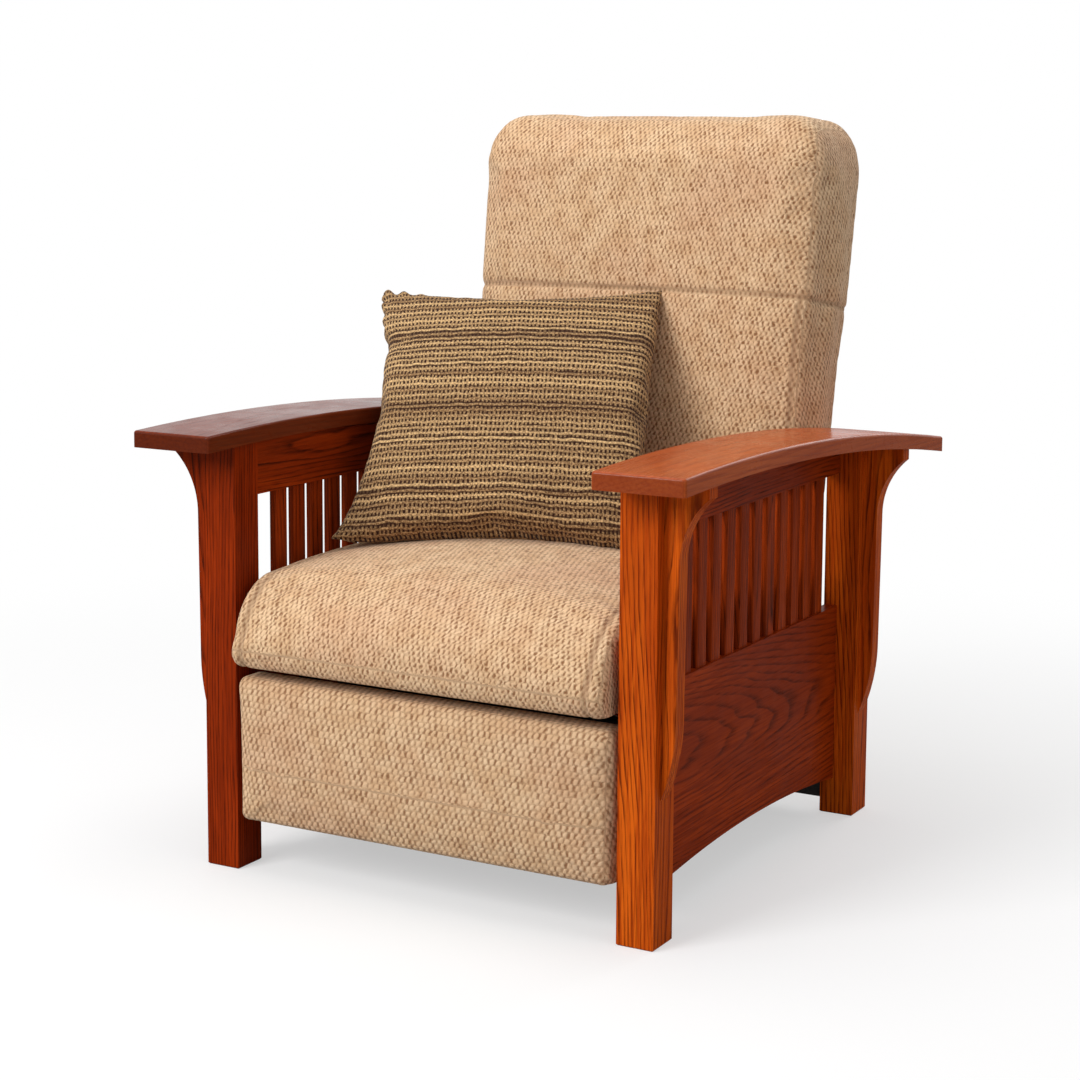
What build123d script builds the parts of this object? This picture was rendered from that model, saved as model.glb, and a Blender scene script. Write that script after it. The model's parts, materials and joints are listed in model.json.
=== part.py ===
from build123d import *
import math
import os

# A mission style reclining armchair: two oak side frames with bowed arms, a seat that rides
# on swing links, an upholstered back that tips, a footrest on folding links, a loose pillow.
# Frame: millimetres, +Z up. The front of the chair faces -Y and its left side is at -X as
# seen from the front. The origin is on the floor, under the middle of the arms.

# Fits that the whole chair shares
touch_gap = 0.3
pin_clearance = 0.05
cut_overrun = 5.0

# Where the sections of a rounded rim lie, as shares of the quarter turn
rounding_shares = (0.0, 0.25, 0.5, 0.7, 0.86, 0.97)

# Posts
post_width = 57.3
post_depth = 58.4
frame_width = 760.0
frame_depth = 786.8
post_edge = 2.0

# Arms: a bowed board, higher at the front end
arm_width = 139.3
arm_thickness = 25.0
arm_inner_overhang = 8.0
arm_front_overhang = 72.2
arm_rear_overhang = 124.1
arm_front_height = 671.0
arm_rear_height = 614.5
arm_bow = 24.5
arm_top_edge = 4.0
arm_corner_edge = 5.0

# Corbels on the outer faces of the posts
corbel_thickness = 25.0
corbel_reach = 66.5
corbel_end = 18.0
corbel_flare = 110.0
corbel_waist = 24.0
corbel_tail_waist = 22.0
corbel_tail = 115.0
corbel_length = 440.0

# Side rails, panels and slats
side_thickness = 20.0
side_inset = 35.0
upper_rail_front_drop = 103.0
upper_rail_rear_drop = 46.5
panel_top = 350.0
panel_foot = 60.0
panel_arch = 22.0
slat_width = 30.0
slat_thickness = 12.0
slat_gap = 18.4
slat_count = 12

# Cross rails that tie the two side frames, and the board that closes the back below
cross_rail_thickness = 20.0
cross_rail_height = 70.0
cross_rail_bottom = 90.0
front_cross_rail_y = -60.0
rear_cross_rail_y = 285.0
block_size = 28.0
dust_board_thickness = 6.0
dust_board_inset = 4.0
dust_board_bottom = 24.0
dust_board_top = 290.0

# Steel angles that carry the seat's swing links
angle_leg = 44.0
angle_foot = 19.0
angle_steel = 3.0
angle_front_y = -190.0
angle_rear_y = 304.0
screw_radius = 4.0
screw_head_radius = 8.0
screw_head = 3.0
screw_length = 30.0
angle_screw_inset = 9.5

# Pivots
pin_radius = 4.0
pin_head_radius = 8.0
pin_head = 2.5
link_end_radius = 12.0
link_steel = 4.0
layer_gap = 1.0
tube_radius = 9.0
tube_wall = 2.0

# Swing links under the seat
swing_length = 90.0
swing_lean = 19.5
swing_pivot_height = 190.0
front_swing_y = -150.0
rear_swing_y = 200.0
swing_steel = 4.0
swing_layer = 9.0
swing_tube_rise = 45.0

# Seat frame and its steel side plates
seat_plate_outer = 307.0
seat_plate_steel = 4.0
seat_plate_bottom = 258.0
seat_plate_top = 332.0
seat_plate_front_y = -280.0
seat_plate_rear_y = 246.0
seat_plate_bevel = 24.0
seat_rail_bottom = 320.0
seat_rail_height = 72.0
seat_rail_thickness = 24.0
seat_frame_front_y = -395.0
seat_frame_rear_y = 158.0
plate_bolt_count = 3
plate_bolt_margin = 60.0

# Seat cushion: side outline at the middle and at the sides of the seat
seat_half_width = 312.0
seat_shoulder_half_width = 296.0
seat_edge_step = 10.0
seat_edge_inset = 4.0
seat_side_inset = 10.0
seat_bottom = 316.0
seat_front = 453.0
seat_front_tuck = 15.0
seat_front_belly = 345.0
seat_front_belly_low = 14.0
seat_front_high = 372.0
seat_front_high_run = 6.0
seat_roll_rise = 30.0
seat_roll_run = 28.0
seat_shoulder_rise = 62.0
seat_shoulder_run = 82.0
seat_crown = 17.0
seat_side_crown = 2.0
seat_front_crown = 6.0
seat_top_bow = 12.0
seat_rear_rise = 50.0
seat_rear_lean = 19.0
seat_rear_y = 162.0

# Serpentine springs
wire_radius = 1.8
seat_spring_count = 5
back_spring_count = 4
spring_wave = 44.0
spring_step = 24.0
spring_bend = 9.0
spring_inset = 12.0

# Back: sizes along its own lean, from the hinge
back_lean = 11.4
back_hinge_y = 206.0
back_hinge_height = 345.0
back_half_width = 311.0
back_rear = 102.0
back_front_low = 25.0
back_front_slope = 0.0734
back_bottom = 22.0
back_seam = 508.0
back_seam_half = 7.0
back_seam_depth = 3.5
back_top = 803.0
back_crown = 7.0
back_front_radius = 34.0
back_rear_radius = 20.0
back_side_draw = 3.0
back_shoulder_drop = 96.0
back_shoulder_in = 64.0
back_shoulder_face = 40.0
back_shoulder_rear = 24.0
back_pocket_half_width = 303.3
back_pocket_front = 5.0
back_pocket_drop = 104.0
stile_thickness = 22.0
stile_depth = 92.0
stile_bottom = -18.0
back_rail_height = 64.0
back_rail_thickness = 22.0
back_middle_rail = 330.0
outer_panel_thickness = 3.6
bracket_radius = 14.0
bracket_width = 54.0
bracket_top = 150.0
bracket_bolt_count = 3

# Footrest panel, hanging upright between the front posts
foot_half_width = 316.0
foot_bottom = 78.0
foot_top = 308.0
foot_front = 439.4
foot_board_rear = 379.0
foot_board_thickness = 15.0
foot_wrap = 10.0
foot_corner = 14.0
foot_round = 16.0
foot_crown = 5.4
foot_crown_inset = 84.0
foot_bracket_flange = 22.0
foot_bracket_steel = 3.0
foot_bracket_bottom = 140.0
foot_bracket_top = 286.0
foot_screw_inset = 14.0

# Footrest links: three pairs of bars that stay parallel, so each loop closes at every angle
drive_length = 205.0
drive_start = -114.0
drive_pivot_y = -262.0
drive_pivot_height = 288.0
control_offset = 75.0
control_offset_angle = 12.0
crank_length = 45.0
foot_pivot_y = -352.0
foot_pivot_height = 235.0
drive_layer = 295.0
carrier_layer = 290.0
tilt_layer = 285.0
bracket_layer = 280.0
drive_tube_distance = 110.0
link_half_width = 10.0
tilt_half_width = 8.0

# Throw pillow, leaning on the back with its lower edge on the seat
pillow_size = 470.0
pillow_draw_share = 0.075
pillow_thickness = 128.0
pillow_turn = 20.0
pillow_lean = 40.0
pillow_roll = 1.5
pillow_centre_x = -94.0
pillow_head_y = 153.355
pillow_foot_rise = 23.48
pillow_level_shares = (-1.0, -0.85, -0.5, 0.0, 0.5, 0.85, 1.0)
pillow_scale_shares = (0.4, 0.66, 0.9, 1.0, 0.9, 0.66, 0.4)

# Places that follow from the sizes above
arm_length = arm_front_overhang + frame_depth + arm_rear_overhang
arm_front_y = -arm_length / 2
arm_rear_y = arm_length / 2
post_outer = frame_width / 2
post_inner = post_outer - post_width
arm_inner = post_inner - arm_inner_overhang
front_post_y = arm_front_y + arm_front_overhang
front_post_back = front_post_y + post_depth
rear_post_end = arm_rear_y - arm_rear_overhang
rear_post_y = rear_post_end - post_depth
panel_outer = post_outer - side_inset
panel_inner = panel_outer - side_thickness
seat_rail_top = seat_rail_bottom + seat_rail_height
seat_roll_height = seat_rail_top + seat_roll_rise
seat_shoulder_height = seat_rail_top + seat_shoulder_rise
seat_rear_height = seat_rail_top + seat_rear_rise


def block(x0, x1, y0, y1, z0, z1):
    """A box between two opposite corners."""
    middle = ((x0 + x1) / 2, (y0 + y1) / 2, (z0 + z1) / 2)
    return Pos(*middle) * Box(abs(x1 - x0), abs(y1 - y0), abs(z1 - z0))


def other_side(solid):
    """The same piece on the other side of the chair."""
    return mirror(solid, about=Plane.YZ)


def plate(profile, x0, thickness):
    """A flat piece cut to an outline in Y and Z, from x0 outwards."""
    return extrude(Plane.YZ.offset(x0) * profile, amount=thickness)


def rod(x0, x1, y, z, radius):
    """A round bar across the chair."""
    middle = Pos((x0 + x1) / 2, y, z)
    return middle * Rot(0, 90, 0) * Cylinder(radius, abs(x1 - x0))


def bar(points, half_width):
    """The outline of a flat link that runs through the pivot points."""
    outline = None
    for (y0, z0), (y1, z1) in zip(points, points[1:]):
        length = math.hypot(y1 - y0, z1 - z0)
        angle = math.degrees(math.atan2(z1 - z0, y1 - y0))
        strip = Pos((y0 + y1) / 2, (z0 + z1) / 2) * Rot(0, 0, angle) * Rectangle(length, 2 * half_width)
        outline = strip if outline is None else outline + strip
    for y, z in points:
        outline = outline + Pos(y, z) * Circle(link_end_radius)
    return outline


def drilled(solid, x0, x1, holes, radius):
    """A link or plate with round holes at its pivots."""
    for y, z in holes:
        solid = solid - rod(x0 - cut_overrun, x1 + cut_overrun, y, z, radius)
    return solid


def polar(y, z, distance, angle):
    """The point at a distance and an angle above the forward direction, which is -Y."""
    turn = math.radians(angle)
    return (y - distance * math.cos(turn), z + distance * math.sin(turn))


def write(node, *solids):
    """Write one node, as one solid or as a group of separate solids."""
    pieces = [one for shape in solids for one in shape.solids()]
    shape = pieces[0] if len(pieces) == 1 else Compound(children=pieces)
    export_step(shape, "parts/" + node + ".step")


# Height of the bowed arm along the chair: an arc over the chord between its two ends
def arm_arc_radius():
    half = math.hypot(arm_length, arm_front_height - arm_rear_height) / 2
    return (half * half + arm_bow * arm_bow) / (2 * arm_bow)


def arm_height(y, drop=0.0):
    """Height of the arm's top at y, less a drop."""
    slope = math.atan2(arm_rear_height - arm_front_height, arm_length)
    radius = arm_arc_radius()
    middle_height = (arm_front_height + arm_rear_height) / 2
    centre_y = (radius - arm_bow) * math.sin(slope)
    centre_z = middle_height - (radius - arm_bow) * math.cos(slope)
    return centre_z + math.sqrt(radius ** 2 - (y - centre_y) ** 2) - drop


def arm_line(y0, y1, drop):
    """An arc along the arm's top from y0 to y1, lowered by a drop."""
    middle = (y0 + y1) / 2
    return ThreePointArc((y0, arm_height(y0, drop)), (middle, arm_height(middle, drop)),
                         (y1, arm_height(y1, drop)))


def under_arm(y0, y1, z0, z1=None):
    """The outline of a piece whose top follows the underside of the arm; z0 and z1 are its foot's ends."""
    drop = arm_thickness + touch_gap
    top = arm_line(y0, y1, drop)
    far = z0 if z1 is None else z1
    rest = Polyline((y1, arm_height(y1, drop)), (y1, far), (y0, z0), (y0, arm_height(y0, drop)))
    return make_face([top, rest])


def rail_foot(y):
    """Height of the upper rail's lower edge, which runs between a drop below each end of the arm."""
    front = arm_front_height - upper_rail_front_drop
    rear = arm_rear_height - upper_rail_rear_drop
    return front + (rear - front) * (y - arm_front_y) / arm_length


def make_arm():
    top = arm_line(arm_front_y, arm_rear_y, 0.0)
    under = arm_line(arm_front_y, arm_rear_y, arm_thickness)
    front = Line(top @ 0, under @ 0)
    rear = Line(top @ 1, under @ 1)
    board = plate(make_face([top, rear, under, front]), arm_inner, arm_width)
    uprights = board.edges().filter_by(Axis.Z)
    board = fillet(uprights, arm_corner_edge)
    upper = board.faces().sort_by(Axis.Z)[-1].edges()
    return fillet(upper, arm_top_edge)


def make_post(y0):
    post = plate(under_arm(y0, y0 + post_depth, 0.0), post_inner, post_width)
    return chamfer(post.faces().sort_by(Axis.Z)[0].edges(), post_edge)


def make_corbel(post_y):
    """A long bracket on the post's outer face, flared under the arm and tapered to nothing."""
    y0 = post_y + (post_depth - corbel_thickness) / 2
    top = arm_height(post_y + post_depth / 2, arm_thickness)
    low = (corbel_waist, top - corbel_flare)
    tip = (corbel_reach, top - corbel_end)
    tail = (corbel_tail_waist, top - corbel_length + corbel_tail)
    end = (0, top - corbel_length)
    flare = TangentArc(low, tip, tangent=(0, 1))
    taper = TangentArc(tail, end, tangent=(0, -1))
    above = top + corbel_end
    straight = [Line(low, tail), Polyline(end, (0, above), (corbel_reach, above), tip)]
    side = Plane((post_outer, y0, 0), x_dir=(1, 0, 0), z_dir=(0, -1, 0))
    face = side * make_face([flare, taper] + straight)
    solid = extrude(face, amount=-corbel_thickness)
    keep = plate(under_arm(arm_front_y, arm_rear_y, 0.0), post_outer, corbel_reach + cut_overrun)
    return solid & keep


def make_side_panel():
    middle = (front_post_back + rear_post_y) / 2
    arch = ThreePointArc((front_post_back, panel_foot), (middle, panel_foot + panel_arch),
                         (rear_post_y, panel_foot))
    rest = Polyline((rear_post_y, panel_foot), (rear_post_y, panel_top), (front_post_back, panel_top),
                    (front_post_back, panel_foot))
    return plate(make_face([arch, rest]), panel_inner, side_thickness)


def make_slats():
    pitch = slat_width + slat_gap
    middle = (front_post_back + rear_post_y) / 2
    x0 = panel_inner + (side_thickness - slat_thickness) / 2
    slats = []
    for index in range(slat_count):
        centre = middle + (index - (slat_count - 1) / 2) * pitch
        y0 = centre - slat_width / 2
        y1 = centre + slat_width / 2
        outline = Polyline((y0, panel_top), (y1, panel_top), (y1, rail_foot(y1)), (y0, rail_foot(y0)), close=True)
        slats.append(plate(make_face(outline), x0, slat_thickness))
    return slats


def side_frame(name, turn):
    """Every oak piece of one side; turn puts it on its side of the chair."""
    write(name + "_front_post", turn(make_post(front_post_y)))
    write(name + "_rear_post", turn(make_post(rear_post_y)))
    write(name + "_front_corbel", turn(make_corbel(front_post_y)))
    write(name + "_rear_corbel", turn(make_corbel(rear_post_y)))
    write(name + "_arm", turn(make_arm()))
    rail = under_arm(front_post_back, rear_post_y, rail_foot(front_post_back), rail_foot(rear_post_y))
    write(name + "_upper_rail", turn(plate(rail, panel_inner, side_thickness)))
    write(name + "_side_panel", turn(make_side_panel()))
    write(name + "_slats", *[turn(slat) for slat in make_slats()])


# Cross rails, corner blocks and the dust board
cross_rail_top = cross_rail_bottom + cross_rail_height


def cross_rail(y0):
    return block(-panel_inner, panel_inner, y0, y0 + cross_rail_thickness, cross_rail_bottom, cross_rail_top)


def corner_blocks():
    """Glue blocks in the corners between the cross rails and the side panels."""
    blocks = []
    for y0 in (front_cross_rail_y + cross_rail_thickness, rear_cross_rail_y - block_size):
        one = block(panel_inner - block_size, panel_inner, y0, y0 + block_size,
                    cross_rail_bottom, cross_rail_top)
        blocks += [one, other_side(one)]
    return blocks


def dust_board():
    y0 = rear_post_y + dust_board_inset
    board = block(-post_inner, post_inner, y0, y0 + dust_board_thickness, dust_board_bottom, dust_board_top)
    cleat_y = rear_cross_rail_y + cross_rail_thickness
    cleat = block(-block_size, block_size, cleat_y, y0, cross_rail_bottom, cross_rail_top)
    return board + cleat


# Steel angles on the cross rails, with a pin for each swing link
angle_top = cross_rail_top + angle_leg


def swing_end(y):
    """Upper pivot of a swing link, with the chair upright."""
    lean = math.radians(swing_lean)
    return (y + swing_length * math.sin(lean), swing_pivot_height + swing_length * math.cos(lean))


swing_inner = panel_inner - swing_layer - swing_steel
swing_outer = swing_inner + swing_steel
swing_pivots = ((front_swing_y, swing_pivot_height), (rear_swing_y, swing_pivot_height))


def make_angle():
    leg = block(panel_inner - angle_steel, panel_inner, angle_front_y, angle_rear_y,
                cross_rail_top, angle_top)
    foot = block(panel_inner - angle_steel - angle_foot, panel_inner, angle_front_y, angle_rear_y,
                 cross_rail_top, cross_rail_top + angle_steel)
    angle = leg + foot
    angle = drilled(angle, panel_inner - angle_steel, panel_inner, swing_pivots, pin_radius)
    for y in angle_screw_places():
        x = panel_inner - angle_steel - angle_foot + angle_screw_inset
        angle = angle - Pos(x, y, cross_rail_top) * Cylinder(screw_radius, 2 * cut_overrun)
    return angle


def angle_screw_places():
    half = cross_rail_thickness / 2
    return (front_cross_rail_y + half, rear_cross_rail_y + half)


def angle_screws():
    """Screws that hold the angles down on the cross rails."""
    screws = []
    x = panel_inner - angle_steel - angle_foot + angle_screw_inset
    top = cross_rail_top + angle_steel
    for y in angle_screw_places():
        shank = Pos(x, y, top - screw_length / 2) * Cylinder(screw_radius, screw_length)
        head = Pos(x, y, top + screw_head / 2) * Cylinder(screw_head_radius, screw_head)
        screws += [shank + head, other_side(shank + head)]
    return screws


def drilled_cross_rail(y0):
    """A cross rail with the holes that its screws fill."""
    rail = cross_rail(y0)
    x = panel_inner - angle_steel - angle_foot + angle_screw_inset
    y = y0 + cross_rail_thickness / 2
    depth = screw_length - angle_steel
    hole = Pos(x, y, cross_rail_top - depth / 2) * Cylinder(screw_radius, depth)
    return rail - hole - other_side(hole)


def swing_base_pins():
    """Pins fixed in the angles, with a head inside each swing link."""
    pins = []
    for y, z in swing_pivots:
        shank = rod(swing_inner - touch_gap, panel_inner, y, z, pin_radius)
        head = rod(swing_inner - touch_gap - pin_head, swing_inner - touch_gap, y, z, pin_head_radius)
        pins += [shank + head, other_side(shank + head)]
    return pins


# Swing links and the tubes that make each pair turn together
def swing_links(y):
    low = (y, swing_pivot_height)
    high = swing_end(y)
    link = plate(bar([low, high], link_half_width), swing_inner, swing_steel)
    link = drilled(link, swing_inner, swing_outer, [low, high], pin_radius + pin_clearance)
    return [link, other_side(link)]


def swing_tube(y):
    lean = math.radians(swing_lean)
    tube_y = y + swing_tube_rise * math.sin(lean)
    tube_z = swing_pivot_height + swing_tube_rise * math.cos(lean)
    outer = rod(-swing_inner, swing_inner, tube_y, tube_z, tube_radius)
    return outer - rod(-swing_inner, swing_inner, tube_y, tube_z, tube_radius - tube_wall)


# Pivots of the footrest links, with the footrest closed
drive_pivot = (drive_pivot_y, drive_pivot_height)
control_pivot = polar(*drive_pivot, -control_offset, control_offset_angle)
drive_end = polar(*drive_pivot, drive_length, drive_start)
control_end = polar(*control_pivot, drive_length, drive_start)
crank_end = polar(*drive_end, crank_length, drive_start)
foot_pivot = (foot_pivot_y, foot_pivot_height)
foot_crank = polar(*foot_pivot, crank_length, drive_start)

# Seat plates and seat frame
seat_plate_inner = seat_plate_outer - seat_plate_steel
swing_tops = tuple(swing_end(y) for y in (front_swing_y, rear_swing_y))
back_hinge = (back_hinge_y, back_hinge_height)


def seat_bolt_places():
    """Bolts along the seat plate, through the overlap with the wooden rail."""
    first = seat_plate_front_y + plate_bolt_margin
    last = seat_frame_rear_y - plate_bolt_margin
    step = (last - first) / (plate_bolt_count - 1)
    height = (seat_rail_bottom + seat_plate_top) / 2
    return [(first + index * step, height) for index in range(plate_bolt_count)]


def seat_plate():
    """A steel plate with an ear at the rear that carries the back's hinge."""
    outline = Polyline((seat_plate_front_y, seat_plate_bottom), (seat_plate_rear_y, seat_plate_bottom),
                       (seat_plate_rear_y, seat_plate_top - seat_plate_bevel),
                       (seat_plate_rear_y - seat_plate_bevel, seat_plate_top),
                       (seat_plate_front_y, seat_plate_top), close=True)
    ear = bar([(back_hinge_y, seat_plate_bottom + link_end_radius), back_hinge], link_end_radius)
    solid = plate(make_face(outline) + ear, seat_plate_inner, seat_plate_steel)
    pivots = list(swing_tops) + [drive_pivot, control_pivot, back_hinge]
    solid = drilled(solid, seat_plate_inner, seat_plate_outer, pivots, pin_radius)
    return drilled(solid, seat_plate_inner, seat_plate_outer, seat_bolt_places(), screw_radius)


def seat_bolts():
    bolts = []
    length = seat_rail_thickness + seat_plate_steel
    for y, z in seat_bolt_places():
        shank = rod(seat_plate_outer - length, seat_plate_outer, y, z, screw_radius)
        nut = rod(seat_plate_outer - length - screw_head, seat_plate_outer - length, y, z, screw_head_radius)
        bolts += [shank + nut, other_side(shank + nut)]
    return bolts


def seat_side_rails():
    x0 = seat_plate_inner - seat_rail_thickness
    rail = block(x0, seat_plate_inner, seat_frame_front_y, seat_frame_rear_y,
                 seat_rail_bottom, seat_rail_top)
    rail = drilled(rail, x0, seat_plate_inner, seat_bolt_places(), screw_radius)
    return [rail, other_side(rail)]


def seat_end_rail(y0):
    half = seat_plate_inner - seat_rail_thickness
    return block(-half, half, y0, y0 + seat_rail_thickness, seat_rail_bottom, seat_rail_top)


def seat_pins():
    """Pins fixed in the seat plates, for the swing links and for the footrest links."""
    pins = []
    for y, z in swing_tops:
        end = swing_outer + touch_gap
        head = rod(end, end + pin_head, y, z, pin_head_radius)
        pins.append(rod(seat_plate_inner, end, y, z, pin_radius) + head)
    for y, z in (drive_pivot, control_pivot):
        start = drive_layer - touch_gap
        head = rod(start - pin_head, start, y, z, pin_head_radius)
        pins.append(rod(start, seat_plate_outer, y, z, pin_radius) + head)
    pins.append(rod(seat_plate_inner - link_steel - touch_gap, seat_plate_outer, *back_hinge, pin_radius))
    return pins + [other_side(pin) for pin in pins]


def serpentine(count_along, start, end):
    """A flat zigzag wire from start to end along its own X, waves in its own Y."""
    half = spring_wave / 2
    step = (end - start) / count_along
    points = [(start, half)]
    for index in range(count_along):
        side = half if index % 2 == 0 else -half
        x = start + step * (index + 1)
        points += [(x, side), (x, -side)]
    points = points[:-1]
    return FilletPolyline(*points, radius=spring_bend)


def spring_solid(plane, start, end):
    count_along = max(2, int((end - start) / spring_step))
    path = plane * serpentine(count_along, start, end)
    section = Plane(path @ 0, z_dir=path % 0) * Circle(wire_radius)
    return sweep(section, path=path)


def seat_springs():
    """Wires from the front rail to the rear rail, just over the rails' upper edges."""
    height = seat_rail_top - spring_inset
    front = seat_frame_front_y + seat_rail_thickness + touch_gap
    rear = seat_frame_rear_y - seat_rail_thickness - touch_gap
    pitch = 2 * (seat_plate_inner - seat_rail_thickness) / seat_spring_count
    springs = []
    for index in range(seat_spring_count):
        x = (index - (seat_spring_count - 1) / 2) * pitch
        plane = Plane((x, 0, height), x_dir=(0, 1, 0), z_dir=(0, 0, 1))
        springs.append(spring_solid(plane, front, rear))
    return springs


# Seat cushion: side outlines lofted across the seat, hollow below for the wooden frame
def seat_outline(x, inset, crown, front_crown):
    """One side outline of the seat cushion at x: rolled front, crowned top, leaning rear."""
    front = -seat_front + inset
    rear_y = seat_rear_y + seat_rear_lean
    rear_z = seat_rear_height - inset
    low = (front + seat_front_tuck, seat_bottom)
    belly = (front, seat_front_belly - seat_front_belly_low)
    high = (front + seat_front_high_run, seat_front_high - inset)
    roll = (front + seat_roll_run, seat_roll_height - inset + front_crown / 2)
    shoulder = (front + seat_shoulder_run, seat_shoulder_height - inset + front_crown)
    top_y = (shoulder[0] + rear_y) / 2
    top_z = (shoulder[1] + rear_z) / 2 + seat_top_bow + crown
    edges = [ThreePointArc(low, belly, high),
             ThreePointArc(high, roll, shoulder),
             ThreePointArc(shoulder, (top_y, top_z), (rear_y, rear_z)),
             Polyline((rear_y, rear_z), (seat_rear_y, seat_bottom), low)]
    return Plane.YZ.offset(x) * make_face(edges)


def seat_cushion():
    shoulder = seat_shoulder_half_width
    middle = seat_outline(0, 0, seat_crown, seat_front_crown)
    near = seat_outline(shoulder, 0, seat_side_crown, 0)
    body = loft([seat_outline(-shoulder, 0, seat_side_crown, 0), middle, near])
    step = seat_outline(shoulder + seat_edge_step, seat_edge_inset, seat_side_crown, 0)
    edge = seat_outline(seat_half_width, seat_side_inset, seat_side_crown, 0)
    cap = loft([near, step], ruled=True) + loft([step, edge], ruled=True)
    body = body + cap + other_side(cap)
    half = seat_plate_outer + touch_gap
    top = seat_rail_top + touch_gap
    pocket = block(-half, half, seat_frame_front_y - touch_gap, seat_rear_y + seat_rear_lean + cut_overrun,
                   seat_bottom - cut_overrun, top)
    return body - pocket


# The back, drawn upright from its hinge and then leaned
back_place = Pos(0, back_hinge_y, back_hinge_height) * Rot(-back_lean, 0, 0)


def back_front(height):
    """How far the back's face stands before the hinge at a height along the back."""
    return -(back_front_low + back_front_slope * height)


def back_section(height, side_in, face_in, rear_in, crown):
    """A level outline of the back: flat rear, rounded corners, crowned face."""
    half = back_half_width - side_in
    front = back_front(height) + face_in
    rear = back_rear - rear_in
    near = back_front_radius
    far = back_rear_radius
    slant = math.sqrt(0.5)
    near_x = half - near + near * slant
    near_y = front + near - near * slant
    far_x = half - far + far * slant
    far_y = rear - far + far * slant
    edges = [Line((-half + far, rear), (half - far, rear)),
             ThreePointArc((half - far, rear), (far_x, far_y), (half, rear - far)),
             Line((half, rear - far), (half, front + near)),
             ThreePointArc((half, front + near), (near_x, near_y), (half - near, front)),
             ThreePointArc((half - near, front), (0, front - crown), (-half + near, front)),
             ThreePointArc((-half + near, front), (-near_x, near_y), (-half, front + near)),
             Line((-half, front + near), (-half, rear - far)),
             ThreePointArc((-half, rear - far), (-far_x, far_y), (-half + far, rear))]
    return Plane.XY.offset(height) * make_face(edges)


def back_cushion():
    """Lower and upper pads with the seam between them, and a rounded top."""
    below = back_seam - back_seam_half
    above = back_seam + back_seam_half
    middle = (back_bottom + below) / 2
    low = back_section(below, 0, 0, 0, back_crown)
    groove = back_section(back_seam, back_seam_depth, back_seam_depth, 0, back_crown)
    high = back_section(above, 0, 0, 0, back_crown)
    lower = loft([back_section(back_bottom, back_side_draw, 0, 0, back_crown),
                  back_section(middle, 0, 0, 0, 2 * back_crown), low])
    seam = loft([low, groove], ruled=True) + loft([groove, high], ruled=True)
    drop = back_shoulder_drop
    shoulder = []
    for share in rounding_shares:
        turn = math.radians(90 * share)
        inwards = 1 - math.cos(turn)
        shoulder.append(back_section(back_top - drop * (1 - math.sin(turn)), back_shoulder_in * inwards,
                                     back_shoulder_face * inwards, back_shoulder_rear * inwards, back_crown))
    upper = loft([high, shoulder[0]], ruled=True) + loft(shoulder)
    pad = lower + seam + upper
    pocket = block(-back_pocket_half_width, back_pocket_half_width, back_pocket_front,
                   back_rear + cut_overrun, back_bottom - cut_overrun, back_top - back_pocket_drop)
    return back_place * (pad - pocket)


stile_outer = seat_plate_inner - link_steel
stile_front = back_pocket_front + layer_gap
stile_rear = stile_front + stile_depth
stile_top = back_top - back_pocket_drop - touch_gap


def bracket_bolt_places():
    middle = stile_front + bracket_width - 2 * screw_head_radius
    first = bracket_radius + plate_bolt_margin / 2
    step = (bracket_top - bracket_radius - first) / (bracket_bolt_count - 1)
    return [(middle, first + index * step) for index in range(bracket_bolt_count)]


def back_stiles():
    stile = block(stile_outer - stile_thickness, stile_outer, stile_front, stile_rear,
                  stile_bottom, stile_top)
    stile = drilled(stile, stile_outer - stile_thickness, stile_outer, bracket_bolt_places(), screw_radius)
    return [back_place * stile, back_place * other_side(stile)]


def back_rails():
    """Bottom, middle and top rails between the stiles."""
    half = stile_outer - stile_thickness
    rails = []
    for low in (0.0, back_middle_rail, stile_top - back_rail_height):
        rails.append(back_place * block(-half, half, stile_front, stile_front + back_rail_thickness,
                                        low, low + back_rail_height))
    return rails


def back_springs():
    start = back_rail_height + touch_gap
    end = back_middle_rail - touch_gap
    pitch = 2 * (stile_outer - stile_thickness) / back_spring_count
    springs = []
    for index in range(back_spring_count):
        x = (index - (back_spring_count - 1) / 2) * pitch
        plane = Plane((x, stile_front + spring_inset, 0), x_dir=(0, 0, 1), z_dir=(0, 1, 0))
        springs.append(back_place * spring_solid(plane, start, end))
    return springs


def outer_panel():
    y0 = stile_rear + touch_gap
    half = back_pocket_half_width - touch_gap
    return back_place * block(-half, half, y0, y0 + outer_panel_thickness, stile_bottom, stile_top)


def back_brackets():
    """Steel brackets on the stiles, with the hinge eye below."""
    eye = Circle(bracket_radius)
    width = stile_front + bracket_width
    outline = Polyline((-bracket_radius, 0), (stile_front, back_bottom - layer_gap),
                       (stile_front, bracket_top), (width, bracket_top), (width, 0), close=True)
    solid = plate(make_face(outline) + eye, stile_outer, link_steel)
    solid = drilled(solid, stile_outer, seat_plate_inner, [(0, 0)], pin_radius + pin_clearance)
    solid = drilled(solid, stile_outer, seat_plate_inner, bracket_bolt_places(), screw_radius)
    return [back_place * solid, back_place * other_side(solid)]


def bracket_bolts():
    """Bolts through the brackets and the stiles."""
    bolts = []
    length = link_steel + stile_thickness
    for y, z in bracket_bolt_places():
        shank = rod(seat_plate_inner - length, seat_plate_inner, y, z, screw_radius)
        nut = rod(seat_plate_inner - length - screw_head, seat_plate_inner - length, y, z, screw_head_radius)
        bolts += [back_place * (shank + nut), back_place * other_side(shank + nut)]
    return bolts


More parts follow.
